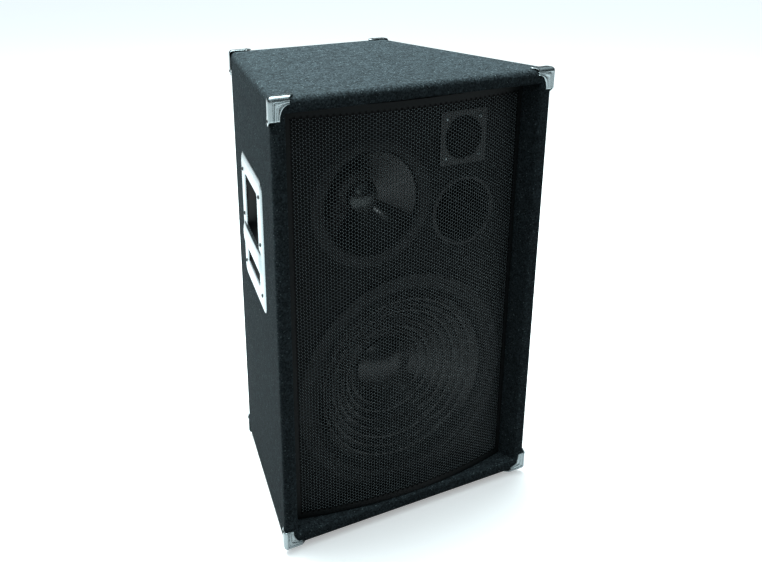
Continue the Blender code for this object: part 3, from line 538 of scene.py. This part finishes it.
# ---- steel corners --------------------------------------------------------
# Pressed from bright zinc-plated sheet: a narrow flange wraps on to the two
# neighbouring faces and ends in lobes with a screw each, and the hollow-cut
# front is stiffened by ridges that follow its curve.
corner_proud, corner_sheet, corner_round = 0.0024, 0.0010, 0.0062
corner_leg, corner_arm = Vector((0.0285, 0.0305)), Vector((0.0145, 0.0097))
corner_wrap, corner_lobe, corner_point = 0.0115, 0.0026, 0.0072
corner_screw_past, corner_screw_deep, corner_screw_radius = 0.0006, 0.0078, 0.0024
corner_relief = ((0.0, 0.0), (0.06, -0.0015), (0.17, -0.0016), (0.30, 0.0), (0.44, 0.0), (0.60, -0.0016),
                 (0.74, -0.0014), (0.88, 0.0), (0.95, -0.0003), (1.0, -0.0014))


def stepped(knots, t):
    """Smooth curve through (place, value) knots."""
    for (t0, v0), (t1, v1) in zip(knots, knots[1:]):
        if t <= t1:
            x = (t - t0) / (t1 - t0)
            return v0 + (v1 - v0) * x * x * (3 - 2 * x)
    return knots[-1][1]


def outline_reach(alpha, inset, radius):
    """From the hollow curve's centre to the box's outline, drawn in by inset and rounded at the corner."""
    ca, sa = math.cos(alpha), math.sin(alpha)
    far = min((corner_leg.x - inset) / max(ca, 1e-9), (corner_leg.y - inset) / max(sa, 1e-9))
    centre = inset + radius
    if corner_leg.x - far * ca < centre and corner_leg.y - far * sa < centre:
        px, py = corner_leg.x - centre, corner_leg.y - centre
        middle = px * ca + py * sa
        far = middle + math.sqrt(max(middle ** 2 - (px * px + py * py - radius ** 2), 0))
    return far


corner_stations = [(0.0, 0.0013, 0.0014), (0.0, 0.0008, 0.0004), (0.0, 0.0, 0.0)]
corner_stations += [(math.radians(90 * i / 30), 0.0, 0.0) for i in range(1, 30)]
corner_stations += [(math.pi / 2, 0.0, 0.0), (math.pi / 2, 0.0008, 0.0004), (math.pi / 2, 0.0013, 0.0014)]
corner_lines = [("face", i / 24) for i in range(24, 0, -1)]
corner_lines += [("round", math.radians(90 * i / 7)) for i in range(0, 8)]
corner_lines += [("flange", t) for t in (0.2, 0.4, 0.6, 0.8, 0.92, 0.98, 1.0)]


def corner_place(station, line):
    """(inset from the side, inset from the top, depth) of one point of a corner's outer face."""
    alpha, along, drop = station
    kind, t = line
    proud = corner_proud - drop
    hollow = 1 / math.hypot(math.cos(alpha) / (corner_leg.x - corner_arm.x),
                            math.sin(alpha) / (corner_leg.y - corner_arm.y))
    depth, lobe = -proud, 0.0
    near_end = max(0.0, 1 - min(alpha, math.pi / 2 - alpha) / math.radians(22)) ** 2
    if kind == "face":
        start = outline_reach(alpha, corner_round - proud, 0.0)
        reach = start + (hollow - start) * t
        depth -= stepped(corner_relief, t)
    elif kind == "round":
        inset = corner_round * (1 - math.sin(t)) - proud
        reach = outline_reach(alpha, inset, corner_round * math.sin(t))
        depth += corner_round * (1 - math.cos(t))
        lobe = max(0.0, t / math.radians(90) - 0.5)
    else:
        curl = stepped(((0.0, 0.0), (0.92, 0.0), (0.98, 0.0003), (1.0, 0.0007)), t)
        reach = outline_reach(alpha, curl - proud, corner_round)
        start = corner_round - proud
        width = corner_wrap + corner_lobe * math.sin(math.pi * min(near_end * 1.2, 1.0) / 2)
        depth = start + (width - start) * t
        lobe = 0.5 + 0.5 * math.sin(math.pi * t) if t < 0.5 else math.cos(math.pi * (t - 0.5))
    a = corner_leg.x - reach * math.cos(alpha)
    b = corner_leg.y - reach * math.sin(alpha)
    slide = along + corner_point * near_end * lobe
    if alpha < math.pi / 4:
        b += slide
    else:
        a += slide
    return a, b, depth


def box_place(a, b, depth, side, level, end):
    """A point of the cabinet from its insets: side, level and end are -1 or 1."""
    y = front_y + depth if end < 0 else back_y - depth
    half = front_half - (y - front_y) * math.tan(taper)
    return Vector((side * (half - a), y, box_top - b if level > 0 else box_bottom + b))


for end, end_name in ((-1, "front"), (1, "back")):
    for level, level_name in ((1, "top"), (-1, "bottom")):
        for side, side_name in ((-1, "left"), (1, "right")):
            bm = bmesh.new()
            bmesh.ops.create_grid(bm, x_segments=len(corner_stations) - 1, y_segments=len(corner_lines) - 1,
                                  size=0.5)
            for vert in bm.verts:
                i = round((vert.co.x + 0.5) * (len(corner_stations) - 1))
                j = round((vert.co.y + 0.5) * (len(corner_lines) - 1))
                vert.co = box_place(*corner_place(corner_stations[i], corner_lines[j]), side, level, end)
            bm.normal_update()
            if sum(f.normal.y * f.calc_area() for f in bm.faces) * end < 0:
                bmesh.ops.reverse_faces(bm, faces=bm.faces)
            name = f"corner_{end_name}_{level_name}_{side_name}"
            piece(name + "_pressing", bm, bright_zinc, thickness=corner_sheet,
                  replaces=[name])
            wall = Vector((side * math.cos(taper), math.sin(taper), 0))
            rise = Vector((0, 0, level))
            out_of, past = -corner_proud - 0.0001, corner_leg + Vector((corner_screw_past, corner_screw_past))
            spots = [(box_place(out_of, past.y, corner_screw_deep, side, level, end), wall),
                     (box_place(past.x, out_of, corner_screw_deep, side, level, end), rise)]
            screws(name + "_screws", spots, corner_screw_radius, black_screw)

# ---- handles --------------------------------------------------------------
# A zinc-plated plate pressed into a shallow tray, with a grip rolled up
# between its two windows. It is screwed over a black moulded dish that is let
# into the side wall.
handle_base, handle_slope, handle_raise, handle_corner = Vector((0.196, 0.214)), 0.009, 0.0026, 0.016
handle_y = 0.003
window_half = 0.0585
handle_screw_u, handle_screw_v, handle_screw_mid_v, handle_screw_radius = 0.0775, 0.080, 0.004, 0.0036
windows = ((-0.010, 0.077), (-0.073, -0.047))
window_corner, handle_steel, grip_bulge = 0.005, 0.0010, 0.0040
grip_mid, grip_half = (windows[0][0] + windows[1][1]) / 2, (windows[0][0] - windows[1][1]) / 2


def spread(stops, most):
    """Grid lines through the stops, never further apart than most."""
    lines = []
    for a, b in zip(stops, stops[1:]):
        count = max(1, math.ceil((b - a) / most))
        lines += [a + (b - a) * i / count for i in range(count)]
    return lines + [stops[-1]]


def outside(u, v, half_u, half_v, radius):
    """Distance outside a round-cornered rectangle, negative inside it."""
    du, dv = abs(u) - half_u + radius, abs(v) - half_v + radius
    return math.hypot(max(du, 0), max(dv, 0)) + min(max(du, dv), 0) - radius


def smooth(t):
    t = min(max(t, 0.0), 1.0)
    return t * t * (3 - 2 * t)


half = handle_base / 2
slopes = (0.0, 0.0006, 0.0016, 0.0030, 0.0075, 0.0090, 0.0105)
lip_steps = (-0.0006, 0.0004, 0.0012, 0.0024)
bar_steps = (0.25, 0.5, 0.65, 0.8, 0.9)
u_stops = sorted({s * x for s in (-1, 1)
                  for x in [half.x - d for d in slopes] + [window_half + d for d in lip_steps]})
v_stops = sorted({s * x for s in (-1, 1) for x in [half.y - d for d in slopes]} |
                 {edge + d * way for low, high in windows for edge, way in ((low, -1), (high, 1))
                  for d in lip_steps} |
                 {grip_mid + grip_half * f * way for way in (-1, 1) for f in (0, *bar_steps)})
u_lines, v_lines = spread(u_stops, 0.006), spread(v_stops, 0.006)
for side, side_name in ((-1, "left"), (1, "right")):
    angle = math.pi - taper if side < 0 else taper
    wall_half = front_half - (handle_y - front_y) * math.tan(taper)
    on_wall = Matrix.Translation((side * wall_half, handle_y, handle_z)) @ Matrix.Rotation(angle, 4, "Z")
    bm = bmesh.new()
    bmesh.ops.create_grid(bm, x_segments=len(u_lines) - 1, y_segments=len(v_lines) - 1, size=0.5)
    for vert in bm.verts:
        u = u_lines[round((vert.co.x + 0.5) * (len(u_lines) - 1))]
        v = v_lines[round((vert.co.y + 0.5) * (len(v_lines) - 1))]
        a = (abs(u) - half.x + handle_corner) / handle_corner
        b = (abs(v) - half.y + handle_corner) / handle_corner
        if a > 0 and b > 0:
            u = math.copysign(half.x - handle_corner + handle_corner * a * math.sqrt(1 - b * b / 2), u)
            v = math.copysign(half.y - handle_corner + handle_corner * b * math.sqrt(1 - a * a / 2), v)
        rim = -outside(u, v, half.x, half.y, handle_corner)
        height = handle_steel + (handle_raise - handle_steel) * smooth(rim / handle_slope)
        height -= 0.0008 * (1 - smooth(rim / 0.0012))
        across = (v - grip_mid) / grip_half
        if abs(across) < 1:
            height += grip_bulge * math.sqrt(1 - across ** 2) * (1 - smooth((abs(u) - 0.074) / 0.016))
        for low, high in windows:
            lip = outside(u, v - (low + high) / 2, window_half, (high - low) / 2, window_corner)
            height -= 0.0014 * (1 - smooth(lip / 0.0026)) ** 1.5
        vert.co = (height, u, v)
    bm.normal_update()
    if sum(f.normal.x for f in bm.faces) < 0:
        bmesh.ops.reverse_faces(bm, faces=bm.faces)
    bmesh.ops.solidify(bm, geom=list(bm.faces), thickness=handle_steel)
    for low, high in windows:
        hole = block((0.03, 2 * window_half, high - low), (0, 0, (low + high) / 2))
        upright_edges = [e for e in hole.edges if abs(e.verts[0].co.x - e.verts[1].co.x) > 0.01]
        bmesh.ops.bevel(hole, geom=upright_edges, offset=window_corner, offset_type="OFFSET", segments=5,
                        profile=0.5, affect="EDGES", material=-1)
        bm = cut(bm, hole)
    bmesh.ops.transform(bm, matrix=on_wall, verts=bm.verts)
    piece(f"handle_pressing_{side_name}", bm, bright_zinc,
          replaces=[f"handle_plate_{side_name}"])
    wall = Vector((side * math.cos(taper), math.sin(taper), 0))
    ends = [(u, v) for u in (-handle_screw_u, handle_screw_u) for v in (handle_screw_v, -handle_screw_v)]
    ends += [(u, handle_screw_mid_v) for u in (-handle_screw_u, handle_screw_u)]
    spots = [(on_wall @ Vector((handle_raise, u, v)), wall) for u, v in ends]
    screws(f"handle_screws_{side_name}", spots, handle_screw_radius, black_screw)
moulded_black = surface("moulded_black", (0.006, 0.0065, 0.007), (0.013, 0.014, 0.015), 700.0, (0.42, 0.6),
                        relief=0.4, depth=0.0002)
dress(moulded_black, "handle_dish_left", "handle_dish_right")

# ---- woofer ---------------------------------------------------------------
# A ribbed paper cone on a doped cloth surround, glued into a black steel
# basket with six windows. The basket is screwed to the baffle over a gasket,
# and a ferrite magnet closes its back.
woofer_z, basket_screw_ring, gasket_face = 0.236, 0.1852, 0.0053


def facing(x, z):
    """A placing on the baffle: +Z points forwards, +Y up."""
    return Matrix.Translation((x, baffle_face, z)) @ Matrix.Rotation(math.radians(90), 4, "X")


def placed(bm, matrix):
    """The shape moved to its place."""
    bmesh.ops.transform(bm, matrix=matrix, verts=bm.verts)
    return bm


def skin(line, thickness, steps):
    """A thin turned sheet whose front follows a line of (radius, height) points."""
    back = [(radius, height - thickness) for radius, height in reversed(line)]
    on_axis = line[0][0] == 0
    return turned(line + back, steps, closed=not on_axis)


def through(knots, count):
    """A line of points through knots, without corners."""
    first, last = knots[0][0], knots[-1][0]
    places = [first + (last - first) * i / count for i in range(count + 1)]
    return [(place, stepped(knots, place)) for place in places]


def cone_line(inner, outer, deep, shallow, power, ribs, rib_height):
    """The front of a cone, with round ribs pressed into it."""
    line = []
    for i in range(73):
        radius = inner + (outer - inner) * i / 72
        height = deep + (shallow - deep) * (i / 72) ** power
        height += sum(rib_height * math.exp(-((radius - rib) / 0.0014) ** 2) for rib in ribs)
        line.append((radius, height))
    return line


def flexing(name, bm, finish, mover, centre, moved, held, replaces):
    """A ring that rides with the cone at radius moved and stays still at radius held."""
    ring = piece(name, bm, finish, body=None, replaces=replaces)
    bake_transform(ring, "cabinet", mover, centre, centre + Vector((0, 0, held)))
    weights = ring.data.attributes["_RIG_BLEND"].data
    for vert, weight in zip(ring.data.vertices, weights):
        reach = math.hypot(vert.co.x - centre.x, vert.co.z - centre.z)
        weight.value = smooth((held - reach) / (held - moved))
    return ring


def bolt_circle(x, z, radius, count, height, turn_by=0.0):
    """(point, normal) spots for screws round a driver."""
    angles = [2 * math.pi * (i + turn_by) / count for i in range(count)]
    return [(Vector((x + radius * math.cos(a), baffle_face - height, z + radius * math.sin(a))), (0, -1, 0))
            for a in angles]


stove_black = surface("stove_black", (0.003, 0.0035, 0.004), (0.007, 0.008, 0.009), 1100.0, (0.35, 0.5),
                      relief=0.2, depth=0.0001)
pressed_paper = surface("pressed_paper", (0.0045, 0.005, 0.0055), (0.013, 0.0145, 0.015), 900.0,
                        (0.20, 0.32), relief=0.35, depth=0.00015, broad=30.0)
doped_cloth = surface("doped_cloth", (0.004, 0.0045, 0.005), (0.011, 0.012, 0.013), 1600.0, (0.34, 0.5),
                      relief=0.5, depth=0.00015)
for dull in (stove_black, doped_cloth):
    dull.node_tree.nodes["Principled BSDF"].inputs["Specular IOR Level"].default_value = 0.2
bare_steel = surface("bare_steel", (0.42, 0.43, 0.43), (0.58, 0.59, 0.58), 500.0, (0.3, 0.5), metallic=1.0,
                     relief=0.15, stretch=(1, 1, 6))
ferrite = surface("ferrite", (0.018, 0.018, 0.019), (0.045, 0.045, 0.046), 380.0, (0.55, 0.75), relief=0.4)
copper = surface("enamelled_copper", (0.34, 0.11, 0.035), (0.62, 0.24, 0.09), 700.0, (0.25, 0.4),
                 metallic=1.0, relief=0.5, stretch=(1, 8, 1))
woofer_place = facing(0, woofer_z)
woofer_centre = Vector((0, baffle_face, woofer_z))
basket_bm = turned([(0.1725, 0.0014), (0.1730, 0.0020), (0.1925, 0.0020), (0.1935, 0.0014),
                    (0.1935, 0.0003), (0.1745, 0.0003), (0.1745, -0.014), (0.1000, -0.084),
                    (0.0760, -0.086), (0.0760, -0.0977), (0.0560, -0.0977), (0.0560, -0.0960),
                    (0.0740, -0.0960), (0.0740, -0.0842), (0.0980, -0.0820), (0.1725, -0.0130)], 96)
for i in range(6):
    window = block((0.080, 0.066, 0.050), (0.142, 0, -0.048), rounding=0.008)
    basket_bm = cut(basket_bm, placed(window, Matrix.Rotation(math.radians(60 * i + 30), 4, "Z")))
placed(basket_bm, woofer_place)
piece("woofer_basket", basket_bm, stove_black, replaces=["woofer_frame"])
gasket_bm = turned([(0.1780, 0.0023), (0.1780, 0.0046), (0.1788, 0.0053), (0.1917, 0.0053),
                    (0.1925, 0.0046), (0.1925, 0.0023)], 128)
placed(gasket_bm, woofer_place)
piece("woofer_gasket_ring", gasket_bm, doped_cloth, replaces=["woofer_gasket"])
surround_bm = skin(through(((0.1556, -0.0026), (0.1595, 0.0016), (0.1635, -0.0010), (0.1675, 0.0022),
                            (0.1715, 0.0030), (0.1775, 0.0030)), 44), 0.0009, 128)
placed(surround_bm, woofer_place)
flexing("woofer_rolled_surround", surround_bm, doped_cloth, "woofer_moving_assembly",
        woofer_centre, 0.1562, 0.1715, ["woofer_surround"])
cone_ribs = [0.066 + 0.0125 * i for i in range(7)]
cone_bm = skin(cone_line(0.0330, 0.1550, -0.078, -0.003, 0.92, cone_ribs, 0.0011), 0.0012, 128)
placed(cone_bm, woofer_place)
piece("woofer_ribbed_cone", cone_bm, pressed_paper, "woofer_moving_assembly",
      replaces=["woofer_cone"])
dome_bm = skin([(0.050 * i / 24, -0.046 - 0.0175 * (i / 24) ** 2) for i in range(25)], 0.0009, 96)
placed(dome_bm, woofer_place)
piece("woofer_dome", dome_bm, pressed_paper, "woofer_moving_assembly",
      replaces=["woofer_dust_cap"])
spider_bm = skin(through(((0.0327, -0.0840), (0.0410, -0.0825), (0.0490, -0.0855), (0.0570, -0.0825),
                          (0.0650, -0.0855), (0.0735, -0.0840)), 50), 0.0008, 96)
placed(spider_bm, woofer_place)
spider_cloth = surface("spider_cloth", (0.24, 0.15, 0.06), (0.40, 0.27, 0.12), 1300.0, (0.7, 0.9),
                       relief=0.6)
flexing("woofer_corrugated_spider", spider_bm, spider_cloth, "woofer_moving_assembly",
        woofer_centre, 0.0335, 0.0730, ["woofer_spider"])
screws("woofer_screws", bolt_circle(0, woofer_z, basket_screw_ring, 8, gasket_face, 0.5), 0.0042,
       black_screw)
dress(copper, "woofer_voice_coil", "mid_voice_coil")
dress(bare_steel, "woofer_top_plate", "woofer_pole_plate")
dress(ferrite, "woofer_magnet", "mid_magnet")

# ---- midrange -------------------------------------------------------------
# A smaller driver with a glossy coated cone and a spun metal dust cap; a
# closed can behind it keeps the woofer's air out.
mid_x, mid_z = -0.060, 0.557
mid_place, mid_centre = facing(mid_x, mid_z), Vector((mid_x, baffle_face, mid_z))
mid_bm = turned([(0.0875, 0.0014), (0.0880, 0.0020), (0.1030, 0.0020), (0.1040, 0.0014),
                 (0.1040, 0.0003), (0.0890, 0.0003), (0.0890, -0.0080), (0.0420, -0.0430),
                 (0.0300, -0.0440), (0.0300, -0.0497), (0.0200, -0.0497), (0.0200, -0.0485),
                 (0.0285, -0.0485), (0.0285, -0.0425), (0.0410, -0.0412), (0.0875, -0.0070)], 96)
placed(mid_bm, mid_place)
piece("mid_basket", mid_bm, stove_black, replaces=["mid_frame"])
mid_roll = skin(through(((0.0783, -0.0026), (0.0815, 0.0012), (0.0850, 0.0030), (0.0915, 0.0030)), 24),
                0.0008, 96)
placed(mid_roll, mid_place)
flexing("mid_rolled_surround", mid_roll, doped_cloth, "mid_moving_assembly",
        mid_centre, 0.0788, 0.0868, ["mid_surround"])
glossy_cone = surface("glossy_cone", (0.003, 0.0035, 0.004), (0.006, 0.007, 0.0075), 600.0, (0.12, 0.18),
                      relief=0.1)
cone_low, cone_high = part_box("mid_cone")
cone_deep, cone_shallow = baffle_face - cone_high.y + 0.001, baffle_face - cone_low.y
mid_cone = skin(cone_line(0.0138, 0.0778, cone_deep, cone_shallow, 0.85, [], 0.0), 0.0009, 96)
placed(mid_cone, mid_place)
piece("mid_coated_cone", mid_cone, glossy_cone, "mid_moving_assembly",
      replaces=["mid_cone"])
mid_dome = skin([(0.024 * i / 20, -0.017 - 0.0092 * (i / 20) ** 2) for i in range(21)], 0.0007, 64)
placed(mid_dome, mid_place)
spun_metal = surface("spun_metal", (0.05, 0.055, 0.055), (0.08, 0.085, 0.085), 900.0, (0.2, 0.3),
                     metallic=1.0, relief=0.1)
piece("mid_metal_dome", mid_dome, spun_metal, "mid_moving_assembly",
      replaces=["mid_dust_cap"])
screws("mid_screws", bolt_circle(mid_x, mid_z, 0.0970, 4, 0.0020, 0.5), 0.0038, black_screw)

# ---- horn tweeter ---------------------------------------------------------
# A moulded square flange with a round flare, closed at the back by a piezo
# element and held by four bright screws.
horn_x, horn_z, horn_side, horn_bolt = 0.100, 0.640, 0.085, 0.0305
plate_bm = block((horn_side, horn_side, 0.0030), (0, 0, 0.0018))
edges = [e for e in plate_bm.edges if abs(e.verts[0].co.z - e.verts[1].co.z) > 0.001]
bmesh.ops.bevel(plate_bm, geom=edges, offset=0.005, offset_type="OFFSET", segments=5, profile=0.5,
                affect="EDGES", material=-1)
flare = [(0.0345, 0.0033), (0.0330, 0.0018), (0.0318, -0.0020), (0.0300, -0.008), (0.0235, -0.0165),
         (0.0160, -0.026), (0.0112, -0.036), (0.0080, -0.045)]
throat = [(0, 0.0020), (0.0365, 0.0020), (0.0365, -0.020), (0.0150, -0.048), (0, -0.048)]
horn_bm = cut(plate_bm, turned(throat, 64, closed=False), "UNION")
horn_bm = cut(horn_bm, turned([(0, 0.006), (0.0352, 0.006)] + flare + [(0.0078, -0.050), (0, -0.050)], 64,
                              closed=False))
placed(horn_bm, facing(horn_x, horn_z))
horn_plastic = surface("horn_plastic", (0.006, 0.0065, 0.007), (0.011, 0.012, 0.013), 800.0, (0.22, 0.34),
                       relief=0.2)
piece("horn_flare", horn_bm, horn_plastic, replaces=["tweeter_horn"])
spots = [(Vector((horn_x + sx * horn_bolt, baffle_face - 0.0033, horn_z + sz * horn_bolt)), (0, -1, 0))
         for sx in (-1, 1) for sz in (-1, 1)]
screws("horn_screws", spots, 0.0036, bright_zinc)
dress(horn_plastic, "tweeter_piezo_driver")

# ---- reflex port ----------------------------------------------------------
# A tube with a rolled lip, pushed into the baffle from the front and glued.
port_x, port_z = 0.106, 0.519
port_bm = turned([(0.0500, -0.080), (0.0500, -0.002), (0.0503, 0.0008), (0.0513, 0.0024), (0.0530, 0.0032),
                  (0.0552, 0.0034), (0.0575, 0.0029), (0.0588, 0.0018), (0.0590, 0.0003), (0.0525, 0.0003),
                  (0.0525, -0.080)], 96)
placed(port_bm, facing(port_x, port_z))
piece("port_flared_tube", port_bm, moulded_black, replaces=["port_tube"])

# ---- crossover and wiring -------------------------------------------------
# Coils and a capacitor glued and soldered on a board; twin cable runs to the
# woofer's tags. The midrange's can is pressed card and plastic.
board_green = surface("circuit_board", (0.03, 0.09, 0.035), (0.06, 0.15, 0.06), 260.0, (0.35, 0.5))
film_blue = surface("capacitor_sleeve", (0.02, 0.045, 0.16), (0.035, 0.07, 0.22), 300.0, (0.25, 0.4))
cable_red = surface("cable_sleeve", (0.20, 0.012, 0.010), (0.32, 0.022, 0.018), 900.0, (0.4, 0.55))
dress(board_green, "crossover_board")
dress(copper, "crossover_coil_low", "crossover_coil_high")
dress(film_blue, "crossover_capacitor")
dress(cable_red, "woofer_lead")
dress(moulded_black, "mid_back_chamber")

# ---- damping pad ----------------------------------------------------------
# A pad of polyester wool, stapled to the inside of the back board; it is soft
# and uneven, thick in its middle and thin where it is held.
pad_low, pad_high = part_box("damping_pad")
pad_size = pad_high - pad_low
pad_bm = bmesh.new()
bmesh.ops.create_cube(pad_bm, size=1.0)
bmesh.ops.subdivide_edges(pad_bm, edges=list(pad_bm.edges), cuts=31, use_grid_fill=True)
for vert in pad_bm.verts:
    across_pad, up_pad = 2 * vert.co.x, 2 * vert.co.z
    rounding = (1 - across_pad ** 8) * (1 - up_pad ** 8)
    lump = noise.noise(Vector((vert.co.x * 5, 0, vert.co.z * 6))) + 0.5 * noise.noise(vert.co * 17)
    full = min(1.0, 0.72 + 0.28 * rounding) - 0.10 * (0.6 + lump) * rounding
    front = (0.5 - vert.co.y) * full
    vert.co = ((pad_low.x + pad_high.x) / 2 + pad_size.x * vert.co.x * (1 - 0.02 * abs(lump)),
               pad_high.y - front * pad_size.y,
               (pad_low.z + pad_high.z) / 2 + pad_size.z * vert.co.z * (1 - 0.015 * abs(lump)))
wool = surface("damping_wool", (0.42, 0.42, 0.40), (0.66, 0.66, 0.63), 240.0, (0.9, 1.0), relief=0.9,
               depth=0.002)
pad = piece("damping_wool_pad", pad_bm, wool, replaces=["damping_pad"])

# ---- connector dish -------------------------------------------------------
# A moulded dish let into the back, with four screws and two jack sockets,
# each held by a hexagonal nut.
dress(moulded_black, "terminal_dish")
dish_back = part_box("terminal_dish")[1].y
terminal_bolt_x, terminal_bolt_z, jack_apart = 0.0565, 0.0385, 0.024
spots = [(Vector((sx * terminal_bolt_x, dish_back, terminal_z + sz * terminal_bolt_z)), (0, 1, 0))
         for sx in (-1, 1) for sz in (-1, 1)]
screws("terminal_screws", spots, 0.0034, black_screw)
dress(bare_steel, "jack_socket_left", "jack_socket_right")
jack_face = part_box("jack_socket_left")[1].y
nuts_bm = bmesh.new()
for sign in (-1, 1):
    nut = turned([(0.0090, -0.0023), (0.0090, -0.0003), (0.0100, -0.0003), (0.0106, -0.0007),
                  (0.0106, -0.0019), (0.0100, -0.0023)], 6)
    at_jack = Matrix.Translation((sign * jack_apart, jack_face, terminal_z))
    join(nuts_bm, nut, at_jack @ Matrix.Rotation(-math.pi / 2, 4, "X"))
    nut.free()
piece("jack_nuts", nuts_bm, bright_zinc)

# ---- pole mount -----------------------------------------------------------
# A moulded cup for a stand's pole, screwed up into the bottom board.
dress(moulded_black, "pole_mount")
flange_face, pole_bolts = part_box("pole_mount")[0].z, 0.040
spots = [(Vector((pole_bolts * math.cos(a), pole_bolts * math.sin(a), flange_face)), (0, 0, -1))
         for a in [math.radians(45 + 90 * i) for i in range(4)]]
screws("pole_mount_screws", spots, 0.0038, black_screw)

# ---- feet -----------------------------------------------------------------
# Turned rubber, each held by one screw sunk in its middle.
rubber = surface("rubber", (0.008, 0.008, 0.008), (0.018, 0.018, 0.018), 420.0, (0.6, 0.8), relief=0.3)
foot_spots, recess_top = [], 0.0052
for name in ("foot_front_left", "foot_front_right", "foot_back_left", "foot_back_right"):
    foot_low, foot_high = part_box(name)
    middle = (foot_low + foot_high) / 2
    tall, wide = foot_high.z - foot_low.z, (foot_high.x - foot_low.x) / 2
    foot_bm = turned([(0, tall), (wide - 0.0006, tall), (wide, tall - 0.0008), (wide - 0.0016, 0.0012),
                      (wide - 0.0030, 0), (0.0088, 0), (0.0080, 0.0008), (0.0076, recess_top),
                      (0, recess_top)], 64, closed=False)
    bmesh.ops.translate(foot_bm, verts=foot_bm.verts, vec=(middle.x, middle.y, foot_low.z))
    piece(name + "_turned", foot_bm, rubber, replaces=[name])
    foot_spots.append((Vector((middle.x, middle.y, foot_low.z + 0.0050)), (0, 0, -1)))
screws("foot_screws", foot_spots, 0.0046, black_screw)
